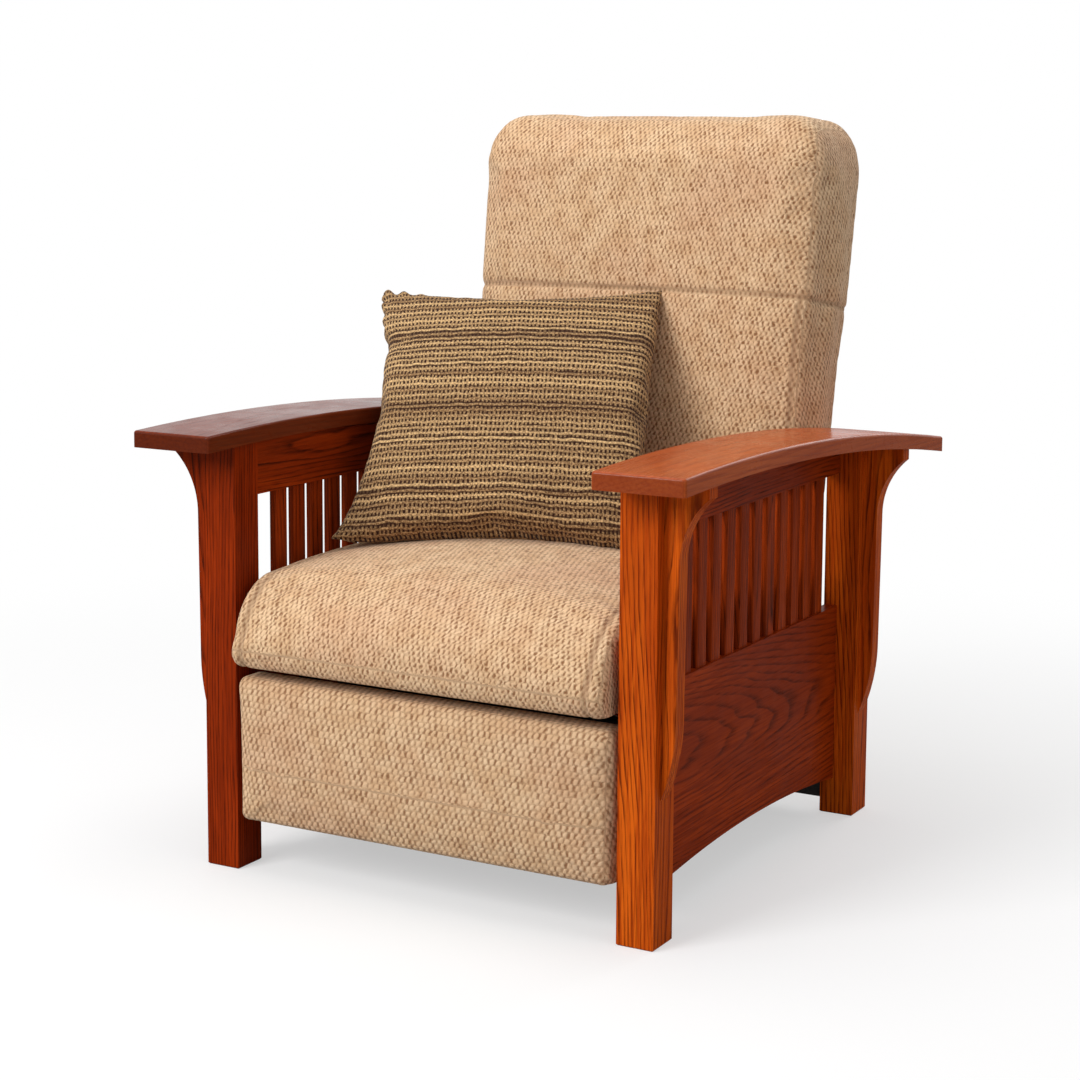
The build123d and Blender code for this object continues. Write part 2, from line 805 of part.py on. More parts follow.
# Footrest links
def drive_links():
    """The driving bars, with a crank beyond their outer pivot."""
    link = plate(bar([drive_pivot, drive_end, crank_end], link_half_width), drive_layer, link_steel)
    link = drilled(link, drive_layer, drive_layer + link_steel, [drive_pivot], pin_radius + pin_clearance)
    link = drilled(link, drive_layer, drive_layer + link_steel, [drive_end, crank_end], pin_radius)
    return [link, other_side(link)]


def drive_tube():
    y, z = polar(*drive_pivot, drive_tube_distance, drive_start)
    outer = rod(-drive_layer, drive_layer, y, z, tube_radius)
    return outer - rod(-drive_layer, drive_layer, y, z, tube_radius - tube_wall)


def drive_pins():
    """Pins fixed in the driving bars for the carrier bars and the tilt bars."""
    far = drive_layer + link_steel
    short_end = carrier_layer - touch_gap
    long_end = tilt_layer - touch_gap
    first = rod(short_end, far, *drive_end, pin_radius)
    first = first + rod(short_end - pin_head, short_end, *drive_end, pin_head_radius)
    second = rod(long_end, far, *crank_end, pin_radius)
    second = second + rod(long_end - pin_head, long_end, *crank_end, pin_head_radius)
    return [first, second, other_side(first), other_side(second)]


def control_links():
    link = plate(bar([control_pivot, control_end], link_half_width), drive_layer, link_steel)
    link = drilled(link, drive_layer, drive_layer + link_steel, [control_pivot, control_end],
                   pin_radius + pin_clearance)
    return [link, other_side(link)]


def carrier_links():
    """The bars that carry the footrest, bent at the driving bar's pivot."""
    link = plate(bar([control_end, drive_end, foot_pivot], link_half_width), carrier_layer, link_steel)
    far = carrier_layer + link_steel
    link = drilled(link, carrier_layer, far, [drive_end], pin_radius + pin_clearance)
    link = drilled(link, carrier_layer, far, [control_end, foot_pivot], pin_radius)
    return [link, other_side(link)]


def carrier_pins():
    """Pins fixed in the carrier bars for the control bars and the footrest brackets."""
    near = carrier_layer
    far = carrier_layer + link_steel
    outer_end = drive_layer + link_steel + touch_gap
    inner_end = bracket_layer - touch_gap
    first = rod(near, outer_end, *control_end, pin_radius)
    first = first + rod(outer_end, outer_end + pin_head, *control_end, pin_head_radius)
    second = rod(inner_end, far, *foot_pivot, pin_radius)
    second = second + rod(inner_end - pin_head, inner_end, *foot_pivot, pin_head_radius)
    return [first, second, other_side(first), other_side(second)]


def tilt_links():
    link = plate(bar([crank_end, foot_crank], tilt_half_width), tilt_layer, link_steel)
    link = drilled(link, tilt_layer, tilt_layer + link_steel, [crank_end, foot_crank],
                   pin_radius + pin_clearance)
    return [link, other_side(link)]


# Footrest panel
def foot_screw_places():
    x = bracket_layer - foot_bracket_flange / 2
    return [(x, foot_bracket_bottom + foot_screw_inset), (x, foot_bracket_top - foot_screw_inset)]


def foot_brackets():
    """Angle brackets behind the footrest board, with the two pivots on the web."""
    face = -foot_board_rear
    web = bar([foot_crank, foot_pivot], link_end_radius)
    sheet = Polyline(foot_crank, foot_pivot, (face, foot_bracket_top), (face, foot_bracket_bottom),
                     close=True)
    web = plate(make_face(sheet) + web, bracket_layer, link_steel)
    web = web & block(bracket_layer, bracket_layer + link_steel, face, 0, 0, foot_top)
    web = drilled(web, bracket_layer, bracket_layer + link_steel, [foot_pivot], pin_radius + pin_clearance)
    web = drilled(web, bracket_layer, bracket_layer + link_steel, [foot_crank], pin_radius)
    flange = block(bracket_layer - foot_bracket_flange, bracket_layer, face, face + foot_bracket_steel,
                   foot_bracket_bottom, foot_bracket_top)
    for x, z in foot_screw_places():
        flange = flange - Pos(x, face, z) * Rot(90, 0, 0) * Cylinder(screw_radius, 4 * foot_bracket_steel)
    bracket = web + flange
    return [bracket, other_side(bracket)]


def foot_pins():
    """Pins fixed in the brackets for the tilt bars."""
    outer = tilt_layer + link_steel + touch_gap
    pin = rod(bracket_layer, outer, *foot_crank, pin_radius)
    return [pin, other_side(pin)]


def foot_screws():
    screws = []
    face = -foot_board_rear + foot_bracket_steel
    depth = foot_board_thickness
    for x, z in foot_screw_places():
        shank = Pos(x, face - depth / 2, z) * Rot(90, 0, 0) * Cylinder(screw_radius, depth)
        head = Pos(x, face + screw_head / 2, z) * Rot(90, 0, 0) * Cylinder(screw_head_radius, screw_head)
        screws += [shank + head, other_side(shank + head)]
    return screws


def foot_board():
    face = -foot_board_rear
    half = foot_half_width - foot_wrap
    board = block(-half, half, face - foot_board_thickness, face,
                  foot_bottom + foot_wrap, foot_top - foot_wrap)
    depth = foot_board_thickness - foot_bracket_steel
    for x, z in foot_screw_places():
        hole = Pos(x, face - depth / 2, z) * Rot(90, 0, 0) * Cylinder(screw_radius, depth)
        board = board - hole - other_side(hole)
    return board


def foot_section(y, inset, corner):
    width = 2 * (foot_half_width - inset)
    height = foot_top - foot_bottom - 2 * inset
    middle = (foot_top + foot_bottom) / 2
    face = RectangleRounded(width, height, corner)
    return Plane((0, y, middle), x_dir=(1, 0, 0), z_dir=(0, -1, 0)) * face


def foot_pad():
    """The padded cover: rounded at the rim and a little crowned, hollow for the board."""
    front = -foot_front
    rim = front + foot_crown + foot_round
    rear_section = foot_section(-foot_board_rear, 0, foot_corner)
    straight = loft([rear_section, foot_section(rim, 0, foot_corner)], ruled=True)
    sections = []
    for share in rounding_shares:
        turn = math.radians(90 * share)
        sections.append(foot_section(rim - foot_round * math.sin(turn), foot_round * (1 - math.cos(turn)),
                                     foot_corner))
    rounded = loft(sections)
    last = sections[-1]
    crown = loft([last, foot_section(front, foot_crown_inset, foot_corner)], ruled=True)
    half = foot_half_width - foot_wrap + touch_gap
    pocket = block(-half, half, -foot_board_rear - foot_board_thickness - touch_gap,
                   -foot_board_rear + cut_overrun, foot_bottom + foot_wrap - touch_gap,
                   foot_top - foot_wrap + touch_gap)
    return straight + rounded + crown - pocket


# Throw pillow
def pillow_plane():
    """The pillow's middle plane: X along its lower edge, Y up its face, Z to its front."""
    turn = math.radians(pillow_turn)
    lean = math.radians(pillow_lean)
    roll = math.radians(pillow_roll)
    across = Vector(math.cos(turn), math.sin(turn), 0)
    back = Vector(-math.sin(turn), math.cos(turn), 0)
    up = Vector(0, 0, 1) * math.cos(lean) + back * math.sin(lean)
    along = across * math.cos(roll) + up * math.sin(roll)
    centre_y = pillow_head_y - pillow_size / 2 * math.sin(lean)
    centre_z = seat_shoulder_height + pillow_foot_rise + pillow_size / 2 * math.cos(lean)
    origin = Vector(pillow_centre_x, centre_y, centre_z)
    return Plane(origin, x_dir=along, z_dir=across.cross(up))


def pillow_outline(scale):
    """A square with its sides drawn in between the corners."""
    half = pillow_size / 2 * scale
    inner = half * (1 - pillow_draw_share)
    corners = [(-half, -half), (half, -half), (half, half), (-half, half)]
    middles = [(0, -inner), (inner, 0), (0, inner), (-inner, 0)]
    edges = []
    for index in range(len(corners)):
        edges.append(ThreePointArc(corners[index], middles[index], corners[(index + 1) % len(corners)]))
    return make_face(edges)


def throw_pillow():
    plane = pillow_plane()
    sections = []
    for level, scale in zip(pillow_level_shares, pillow_scale_shares):
        sections.append(plane.offset(level * pillow_thickness / 2) * pillow_outline(scale))
    return loft(sections)


def main():
    os.makedirs("parts", exist_ok=True)
    side_frame("right", lambda solid: solid)
    side_frame("left", other_side)
    write("front_cross_rail", drilled_cross_rail(front_cross_rail_y))
    write("rear_cross_rail", drilled_cross_rail(rear_cross_rail_y))
    write("corner_blocks", *corner_blocks())
    write("rear_dust_board", dust_board())
    write("right_base_angle", make_angle())
    write("left_base_angle", other_side(make_angle()))
    write("base_angle_screws", *angle_screws())
    write("base_pivot_pins", *swing_base_pins())
    write("front_swing_links", *swing_links(front_swing_y))
    write("front_swing_tube", swing_tube(front_swing_y))
    write("rear_swing_links", *swing_links(rear_swing_y))
    write("rear_swing_tube", swing_tube(rear_swing_y))
    write("right_seat_plate", seat_plate())
    write("left_seat_plate", other_side(seat_plate()))
    write("seat_plate_bolts", *seat_bolts())
    write("seat_pivot_pins", *seat_pins())
    write("seat_side_rails", *seat_side_rails())
    write("seat_front_rail", seat_end_rail(seat_frame_front_y))
    write("seat_rear_rail", seat_end_rail(seat_frame_rear_y - seat_rail_thickness))
    write("seat_springs", *seat_springs())
    write("seat_cushion", seat_cushion())
    write("back_stiles", *back_stiles())
    write("back_rails", *back_rails())
    write("back_springs", *back_springs())
    write("back_cushion", back_cushion())
    write("back_outer_panel", outer_panel())
    write("back_brackets", *back_brackets())
    write("back_bracket_bolts", *bracket_bolts())
    write("drive_links", *drive_links())
    write("drive_tube", drive_tube())
    write("drive_pins", *drive_pins())
    write("control_links", *control_links())
    write("carrier_links", *carrier_links())
    write("carrier_pins", *carrier_pins())
    write("tilt_links", *tilt_links())
    write("footrest_board", foot_board())
    write("footrest_pad", foot_pad())
    write("footrest_brackets", *foot_brackets())
    write("footrest_pins", *foot_pins())
    write("footrest_screws", *foot_screws())
    write("throw_pillow", throw_pillow())


main()
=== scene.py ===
# %% [markdown]
# # A mission reclining armchair
# The chair was made first as an exact model of every board, link and pin. This script dresses
# it: stained oak, woven covers over padding, a loose pillow, and a plain studio round it.
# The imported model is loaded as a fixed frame, in metres, with the front of the chair at -Y.

# %% Load the frame
import json
import math

import bmesh
import bpy
import numpy as np
from mathutils import Matrix, Vector

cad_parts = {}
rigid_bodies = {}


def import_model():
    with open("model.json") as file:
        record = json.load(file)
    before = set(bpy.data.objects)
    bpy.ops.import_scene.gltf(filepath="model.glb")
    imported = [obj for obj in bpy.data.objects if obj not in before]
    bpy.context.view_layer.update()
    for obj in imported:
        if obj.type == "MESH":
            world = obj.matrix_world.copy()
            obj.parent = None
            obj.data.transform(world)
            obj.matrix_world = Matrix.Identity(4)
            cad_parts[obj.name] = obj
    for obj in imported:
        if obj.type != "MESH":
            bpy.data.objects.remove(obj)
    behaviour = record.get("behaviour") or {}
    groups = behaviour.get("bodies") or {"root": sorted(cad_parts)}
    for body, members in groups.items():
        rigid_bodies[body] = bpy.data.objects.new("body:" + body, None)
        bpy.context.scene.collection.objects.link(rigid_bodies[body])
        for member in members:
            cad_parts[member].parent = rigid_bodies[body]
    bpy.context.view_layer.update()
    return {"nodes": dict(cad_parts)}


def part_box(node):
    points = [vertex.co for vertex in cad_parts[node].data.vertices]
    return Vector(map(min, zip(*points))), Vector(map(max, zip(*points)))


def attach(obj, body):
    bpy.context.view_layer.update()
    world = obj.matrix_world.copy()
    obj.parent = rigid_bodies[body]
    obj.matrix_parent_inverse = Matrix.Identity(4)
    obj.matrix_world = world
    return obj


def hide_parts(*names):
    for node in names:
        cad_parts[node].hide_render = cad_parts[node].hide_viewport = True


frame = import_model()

nodes = frame["nodes"]

# %% [markdown]
# ## The camera
# The photograph was taken from the right front corner, a little above the arms, with a long
# lens. A camera can be aimed at a point, but here its heading, tilt and roll were worked out
# from the edges of the frame, so the three directions are built from those angles. The legs
# hardly lean in the photograph, as with a lens that is shifted down, so the lens shifts a little.

# %% Camera
focal_pixels, photo_pixels, sensor_width = 2294.0, 1080.0, 36.0
camera_place, camera_shift = (1.7228, -3.1295, 1.1192), -0.1
heading, tilt, camera_roll = (math.radians(angle) for angle in (29.37, -7.56, 0.35))
forward = Vector((-math.sin(heading) * math.cos(tilt),
                  math.cos(heading) * math.cos(tilt), math.sin(tilt)))
level = Vector((math.cos(heading), math.sin(heading), 0))
upright = level.cross(forward)
picture_right = level * math.cos(camera_roll) + upright * math.sin(camera_roll)
picture_up = upright * math.cos(camera_roll) - level * math.sin(camera_roll)
camera_data = bpy.data.cameras.new("photo_camera")
camera_data.sensor_width = sensor_width
camera_data.lens = sensor_width * focal_pixels / photo_pixels
camera_data.shift_y = camera_shift
camera = bpy.data.objects.new("photo_camera", camera_data)
camera_turn = Matrix((picture_right, picture_up, -forward)).transposed().to_4x4()
camera.matrix_world = Matrix.Translation(camera_place) @ camera_turn
bpy.context.scene.collection.objects.link(camera)
bpy.context.scene.camera = camera
bpy.context.scene.view_settings.view_transform = "Standard"
print("camera: lens", round(camera_data.lens, 1), "mm")

# %% [markdown]
# ## Nodes by hand
# Every finish below is a small graph of shader nodes. A helper that adds one node, wires what
# is a socket and sets what is a number keeps each recipe short enough to read.


# %% A recipe for a finish
class Recipe:
    """One material, or the world, and the few calls that build its nodes."""

    def __init__(self, name, owner=None):
        self.owner = owner or bpy.data.materials.new(name)
        self.owner.use_nodes = True
        self.tree = self.owner.node_tree
        self.tree.nodes.clear()

    def add(self, kind, inputs=None, **settings):
        node = self.tree.nodes.new("ShaderNode" + kind)
        for key, value in settings.items():
            setattr(node, key, value)
        for key, value in (inputs or {}).items():
            if isinstance(value, bpy.types.NodeSocket):
                self.tree.links.new(value, node.inputs[key])
            else:
                node.inputs[key].default_value = value
        return node

    def sum(self, operation, first, second=0.0, third=0.0):
        inputs = {0: first, 1: second}
        if operation == "MULTIPLY_ADD":
            inputs[2] = third
        return self.add("Math", inputs, operation=operation).outputs[0]

    def vector(self, operation, first, second):
        return self.add("VectorMath", {0: first, 1: second}, operation=operation).outputs[0]

    def stretch(self, vector, scale):
        return self.add("Mapping", {"Vector": vector, "Scale": scale}).outputs[0]

    def mix(self, share, first, second):
        return self.add("Mix", {0: share, 6: first, 7: second}, data_type="RGBA").outputs[2]

    def span(self, value, low, high, start=0.0, end=1.0):
        inputs = {"Value": value, "From Min": low, "From Max": high, "To Min": start, "To Max": end}
        return self.add("MapRange", inputs, interpolation_type="SMOOTHSTEP").outputs[0]

    def ramp(self, value, *stops):
        node = self.add("ValToRGB", {0: value})
        band = node.color_ramp
        while len(band.elements) < len(stops):
            band.elements.new(0.5)
        for element, (place, grey) in zip(band.elements, stops):
            element.position = place
            element.color = (grey, grey, grey, 1.0)
        return node.outputs[0]

    def noise(self, vector, scale, detail=2.0, roughness=0.5):
        inputs = {"Vector": vector, "Scale": scale, "Detail": detail, "Roughness": roughness}
        return self.add("TexNoise", inputs).outputs[0]

    def wander(self, vector, scale, detail, reach):
        """A noise that points any way, up to half of reach along each axis."""
        drift = self.add("TexNoise", {"Vector": vector, "Scale": scale, "Detail": detail})
        centred = self.vector("SUBTRACT", drift.outputs["Color"], (0.5, 0.5, 0.5))
        return self.vector("MULTIPLY", centred, reach)

    def chance(self, number, kind="Value"):
        return self.add("TexWhiteNoise", {"W": number}, noise_dimensions="1D").outputs[kind]

    def wave(self, turns):
        return self.sum("SINE", self.sum("MULTIPLY", turns, math.pi))

    def bump(self, strength, distance, height):
        inputs = {"Strength": strength, "Distance": distance, "Height": height}
        return self.add("Bump", inputs).outputs[0]

    def finish(self, surface, kind="OutputMaterial"):
        self.tree.links.new(surface, self.add(kind).inputs["Surface"])
        return self.owner


def colour(red, green, blue):
    """A colour as a screen shows it, 0 to 255, turned into the linear light that shaders use."""
    shares = [value / 255 for value in (red, green, blue)]
    linear = [share / 12.92 if share <= 0.04045 else ((share + 0.055) / 1.055) ** 2.4
              for share in shares]
    return (*linear, 1.0)


# %% [markdown]
# ## The studio
# A chair like this is photographed on a white sweep. The floor is a real surface that takes the
# chair's shadow. For rays from the camera it is paler and glows a little, more with distance,
# so it melts into the white behind without any more light falling on the chair.

# %% World and floor
white, soft_strength = (1.0, 1.0, 1.0, 1.0), 0.42
sky = Recipe("studio_world", bpy.data.worlds.new("studio_world"))
bpy.context.scene.world = sky.owner
path = sky.add("LightPath").outputs
mirrored = sky.sum("MAXIMUM", path["Is Glossy Ray"], path["Is Transmission Ray"])
seen = sky.sum("MAXIMUM", path["Is Camera Ray"], mirrored)
soft_light = sky.add("Background", {"Color": white, "Strength": soft_strength}).outputs[0]
white_wall = sky.add("Background", {"Color": white, "Strength": 1.0}).outputs[0]
sky.finish(sky.add("MixShader", {0: seen, 1: soft_light, 2: white_wall}).outputs[0], "OutputWorld")

floor_half, glow_starts, glow_full = 14.0, 0.7, 2.4
grey_floor, pale_floor = (0.42, 0.42, 0.42, 1.0), (0.94, 0.94, 0.94, 1.0)
make = Recipe("studio_floor")
floor_place = make.add("TexCoord").outputs["Object"]
far_off = make.add("VectorMath", {0: floor_place}, operation="LENGTH").outputs["Value"]
camera_ray = make.add("LightPath").outputs["Is Camera Ray"]
glow_share = make.sum("MULTIPLY", make.span(far_off, glow_starts, glow_full, 0.5, 1.0), camera_ray)
floor_tone = make.mix(camera_ray, grey_floor, pale_floor)
pale = make.add("BsdfDiffuse", {"Color": floor_tone}).outputs[0]
glow = make.add("Emission", {"Color": white, "Strength": 1.0}).outputs[0]
both = make.add("MixShader", {0: glow_share, 1: pale, 2: glow}).outputs[0]
floor_mesh = bpy.data.meshes.new("studio_floor")
floor_corners = [(x * floor_half, y * floor_half, 0) for x, y in ((-1, -1), (1, -1), (1, 1), (-1, 1))]
floor_mesh.from_pydata(floor_corners, [], [(0, 1, 2, 3)])
floor_mesh.materials.append(make.finish(both))
floor = bpy.data.objects.new("studio_floor", floor_mesh)
bpy.context.scene.collection.objects.link(floor)


# %% Lamps
def lamp(name, place, target, size, watts):
    """A soft square lamp that faces a point."""
    data = bpy.data.lights.new(name, "AREA")
    data.shape = "SQUARE"
    data.size = size
    data.energy = watts
    made = bpy.data.objects.new(name, data)
    made.location = place
    made.rotation_mode = "QUATERNION"
    made.rotation_quaternion = (Vector(target) - Vector(place)).to_track_quat("-Z", "Y")
    bpy.context.scene.collection.objects.link(made)


lamp("key_lamp", (-1.5, -4.0, 2.8), (0, 0, 0.6), size=2.2, watts=156)
lamp("top_lamp", (-0.3, -0.2, 3.6), (0, 0, 0.5), size=2.4, watts=40)
lamp("rear_lamp", (0.9, 3.9, 2.6), (0, 0, 0.5), size=2.0, watts=40)
lamp("side_lamp", (3.8, -0.6, 1.8), (0, 0, 0.6), size=2.4, watts=12)
print("studio: floor and four lamps")

# %% [markdown]
# ## Oak
# The frame is stained oak under a half-gloss lacquer. What makes oak look like oak is its rings:
# a board is a cut through a log, so its lines are the log's rings seen from the side. Painting
# stripes would show on every face alike. Instead each board gets its own log: a line somewhere
# beside it, leaning slightly, with rings round it. Where the face runs nearly square to the
# rings they draw straight lines, and elsewhere the tall arches of a flat-sawn board.

# %% Oak recipe
ring_unit = 0.31416


def oak(name, grain, heart, lean, light, middle, dark, ring=0.0042, gloss=0.3, lines=0.95,
        shine=0.02, numbered=None):
    """Stained oak. grain is the axis along the board and heart a point of the log's middle line.
    ring is the distance from ring to ring, and ring_unit what a ring wave of scale 1 has."""
    make = Recipe(name)
    place = make.add("TexCoord").outputs["Object"]
    if numbered:
        number = make.add("Attribute", attribute_name=numbered).outputs["Fac"]
        jump = make.vector("MULTIPLY", make.chance(number, "Color"), (0.12, 0.12, 0.6))
        place = make.vector("ADD", place, jump)
    centred = make.vector("SUBTRACT", place, heart)
    turn = math.radians(90) if grain == "Y" else 0.0
    board = make.add("Mapping", {"Vector": centred, "Rotation": (turn, 0, 0)}).outputs[0]
    log = make.add("Mapping", {"Vector": board, "Rotation": (lean[0], lean[1], 0)}).outputs[0]
    long_waves = make.stretch(log, (1, 1, 0.16))
    swaying = make.vector("ADD", long_waves, make.wander(long_waves, 8.0, 3.0, (0.04, 0.04, 0.0)))
    wave_inputs = {"Vector": swaying, "Scale": ring_unit / ring, "Distortion": 1.6, "Detail": 3.0,
                   "Detail Scale": 0.7, "Detail Roughness": 0.65}
    rings = make.add("TexWave", wave_inputs, wave_type="RINGS", rings_direction="Z",
                     wave_profile="SAW").outputs["Fac"]
    early = make.ramp(rings, (0.0, 1), (0.12, 0.7), (0.36, 0.12), (0.9, 0), (1.0, 0.9))
    fine = make.stretch(board, (1, 1, 0.03))
    pores = make.span(make.noise(fine, 620.0, 3.0, 0.65), 0.48, 0.66)
    streaks = make.noise(fine, 210.0, 3.0, 0.6)
    patch = make.noise(long_waves, 12.0, 3.0, 0.6)
    strength = make.noise(long_waves, 30.0)
    broken = make.noise(make.stretch(board, (1, 1, 0.12)), 150.0)
    line = make.sum("MULTIPLY", early, make.span(strength, 0.3, 0.62, 0.5, 1.0))
    line = make.sum("MULTIPLY", line, make.span(broken, 0.36, 0.56, 0.45, 1.0))
    base = make.mix(make.span(patch, 0.34, 0.66, 0.0, 0.7), light, middle)
    base = make.mix(make.span(streaks, 0.44, 0.6, 0.0, 0.8), base, middle)
    stained = make.mix(make.sum("MULTIPLY", line, lines), base, dark)
    pore_share = make.sum("MULTIPLY", pores, make.sum("MULTIPLY_ADD", early, 0.5, 0.25))
    stained = make.mix(make.sum("MULTIPLY", pore_share, lines), stained, dark)
    facing = make.add("SeparateXYZ", {0: make.add("TexCoord").outputs["Normal"]}).outputs[grain]
    end_grain = make.span(make.sum("ABSOLUTE", facing), 0.75, 0.95, 0.0, 0.5)
    stained = make.mix(end_grain, stained, dark)
    height = make.sum("MULTIPLY_ADD", line, -0.5, make.sum("MULTIPLY", pore_share, -0.9))
    rough = make.span(make.noise(place, 14.0, 3.0, 0.6), 0.3, 0.7, gloss, gloss + 0.12)
    rough = make.sum("MULTIPLY_ADD", pore_share, 0.25, rough)
    surface = make.add("BsdfPrincipled", {"Base Color": stained, "Roughness": rough,
                                          "Normal": make.bump(0.4 * lines, 0.0005, height),
                                          "Specular IOR Level": 0.03, "Coat Weight": shine,
                                          "Coat Roughness": 0.1}).outputs[0]
    return make.finish(surface)


def put_on(name, finish):
    """Gives a frame node its finish."""
    nodes[name].data.materials.clear()
    nodes[name].data.materials.append(finish)


# %% [markdown]
# The two sides are one stain, and the tones carry painted shade: the left side's posts and arm get
# darker copies of the right side's tones, and the panels and rails get a darker, redder oak that is
# partly their own tone and partly painted shade. The arms are a browner, smoother kind. Each tone is
# three colours: the wood between the rings, its darker patches, and the rings themselves.

# %% Oak on the side frames
bright_oak = colour(226, 102, 20), colour(182, 68, 10), colour(82, 22, 4)
# The left side's posts and corbels take this darker copy of the right side's tone: painted shade.
shaded_left_oak = colour(160, 52, 8), colour(126, 37, 5), colour(56, 14, 3)
# The panels and rails take this darker, redder oak: partly their own tone and partly painted shade.
shade_darkened_oak = colour(168, 60, 12), colour(134, 43, 8), colour(56, 14, 3)
shaded_oak = colour(184, 70, 18), colour(132, 44, 10), colour(48, 14, 4)
arm_oak = colour(184, 88, 40), colour(162, 69, 28), colour(104, 35, 12)
# The left arm takes this darker copy of the right arm's tone: painted shade.
shaded_left_arm_oak = colour(120, 47, 18), colour(101, 37, 14), colour(64, 20, 7)
side_tones = ("right_", bright_oak, arm_oak), ("left_", shaded_left_oak, shaded_left_arm_oak)
next_board = Vector((0.004, 0.007, 0.011))


def finish_boards(names, grain, heart, lean, tones, **looks):
    """The same kind of oak on several boards, each with its own place in the log."""
    for index, name in enumerate(names):
        low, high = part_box(name)
        middle = (low + high) / 2
        side = 1 if middle.x >= 0 else -1
        place = middle + Vector((heart[0] * side, heart[1], heart[2])) + next_board * index
        put_on(name, oak("oak_" + name, grain, place, lean, *tones, **looks))


for side, upright_tones, arm_tones in side_tones:
    finish_boards([side + "front_post", side + "rear_post"], "Z", (-0.075, 0.05, 0.0), (0.016, 0.01),
                  upright_tones, ring=0.0044)
    finish_boards([side + "front_corbel", side + "rear_corbel"], "Z", (0.02, 0.075, 0.1), (0.03, 0.03),
                  upright_tones, ring=0.005)
    finish_boards([side + "arm"], "Y", (0.03, 0.0, -0.16), (0.03, 0.02), arm_tones, ring=0.0075,
                  gloss=0.2, lines=0.35, shine=0.22)
finish_boards(["left_upper_rail", "right_upper_rail"], "Y", (-0.09, 0.0, 0.03), (0.01, 0.015), shade_darkened_oak)
finish_boards(["left_side_panel", "right_side_panel"], "Y", (-0.095, 0.0, 0.02), (0.035, 0.06), shade_darkened_oak,
              ring=0.0056, lines=0.7)
print("oak on the side frames")

# %% [markdown]
# ## Slats
# Twelve slats stand between the upper rail and the panel on each side. They follow a rule, so a
# small node tree makes them: a row of points, a rounded rectangle swept up each point's line,
# and a number stored on each slat, so that each can be cut from another part of the log.


# %% A rule for what repeats
class Rule:
    """A geometry node tree with named inputs, and the few calls that build it."""

    def __init__(self, name, *sizes):
        self.tree = bpy.data.node_groups.new(name, "GeometryNodeTree")
        self.ids = {}
        for label, kind in sizes:
            socket = self.tree.interface.new_socket(label, in_out="INPUT",
                                                    socket_type="NodeSocket" + kind)
            self.ids[label] = socket.identifier
        self.tree.interface.new_socket("Geometry", in_out="OUTPUT", socket_type="NodeSocketGeometry")
        self.given = self.tree.nodes.new("NodeGroupInput")

    def add(self, kind, inputs=None, **settings):
        node = self.tree.nodes.new(kind)
        for key, value in settings.items():
            setattr(node, key, value)
        for key, value in (inputs or {}).items():
            if isinstance(value, bpy.types.NodeSocket):
                self.tree.links.new(value, node.inputs[key])
            else:
                node.inputs[key].default_value = value
        return node

    def size(self, label):
        return self.given.outputs[label]

    def sum(self, operation, first, second):
        return self.add("ShaderNodeMath", {0: first, 1: second}, operation=operation).outputs[0]

    def place(self, x=0.0, y=0.0, z=0.0):
        return self.add("ShaderNodeCombineXYZ", {0: x, 1: y, 2: z}).outputs[0]

    def end(self, geometry, finish):
        real = self.add("GeometryNodeRealizeInstances", {"Geometry": geometry})
        dressed = self.add("GeometryNodeSetMaterial", {"Geometry": real.outputs[0], "Material": finish})
        out = self.tree.nodes.new("NodeGroupOutput")
        self.tree.links.new(dressed.outputs[0], out.inputs[0])

    def make(self, name, body, **values):
        """Runs the tree with these sizes and keeps the result as a plain mesh on one body."""
        host = bpy.data.objects.new(name + "_rule", bpy.data.meshes.new(name + "_rule"))
        bpy.context.scene.collection.objects.link(host)
        modifier = host.modifiers.new("rule", "NODES")
        modifier.node_group = self.tree
        for label, value in values.items():
            modifier[self.ids[label]] = value
        graph = bpy.context.evaluated_depsgraph_get()
        mesh = bpy.data.meshes.new_from_object(host.evaluated_get(graph), depsgraph=graph)
        mesh.name = name
        host.modifiers.clear()
        bpy.data.objects.remove(host)
        made = bpy.data.objects.new(name, mesh)
        bpy.context.scene.collection.objects.link(made)
        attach(made, body)
        print(name, "-", len(mesh.polygons), "faces")
        return made


# %% The tree of the slats
slat_sizes = ("Pitch", "Width", "Depth", "Rounding", "Side", "First", "Bottom", "Top")
row = Rule("slat_row", ("Count", "Int"), *((label, "Float") for label in slat_sizes))
left_numbers_from = 40.0
stands = row.add("GeometryNodeJoinGeometry")
for side in (1.0, -1.0):
    x = row.sum("MULTIPLY", row.size("Side"), side)
    start = row.place(x, row.size("First"), row.size("Bottom"))
    line = {"Count": row.size("Count"), "Start Location": start,
            "Offset": row.place(0.0, row.size("Pitch"), 0.0)}
    points = row.add("GeometryNodeMeshLine", line, mode="OFFSET")
    number = row.sum("ADD", row.add("GeometryNodeInputIndex").outputs[0], left_numbers_from * side)
    mark = {"Geometry": points.outputs[0], "Name": "slat_number", "Value": number}
    marked = row.add("GeometryNodeStoreNamedAttribute", mark, data_type="FLOAT", domain="POINT")
    row.tree.links.new(marked.outputs[0], stands.inputs[0])
tall = row.sum("SUBTRACT", row.size("Top"), row.size("Bottom"))
spine = row.add("GeometryNodeCurvePrimitiveLine", {"Start": (0, 0, 0), "End": row.place(0.0, 0.0, tall)})
outline = {"Width": row.size("Width"), "Height": row.size("Depth")}
section = row.add("GeometryNodeCurvePrimitiveQuadrilateral", outline, mode="RECTANGLE")
rounding = {"Curve": section.outputs[0], "Radius": row.size("Rounding"), "Count": 3}
soft_section = row.add("GeometryNodeFilletCurve", rounding, mode="POLY")
sweep = {"Curve": spine.outputs[0], "Profile Curve": soft_section.outputs[0], "Fill Caps": True}
slat = row.add("GeometryNodeCurveToMesh", sweep)
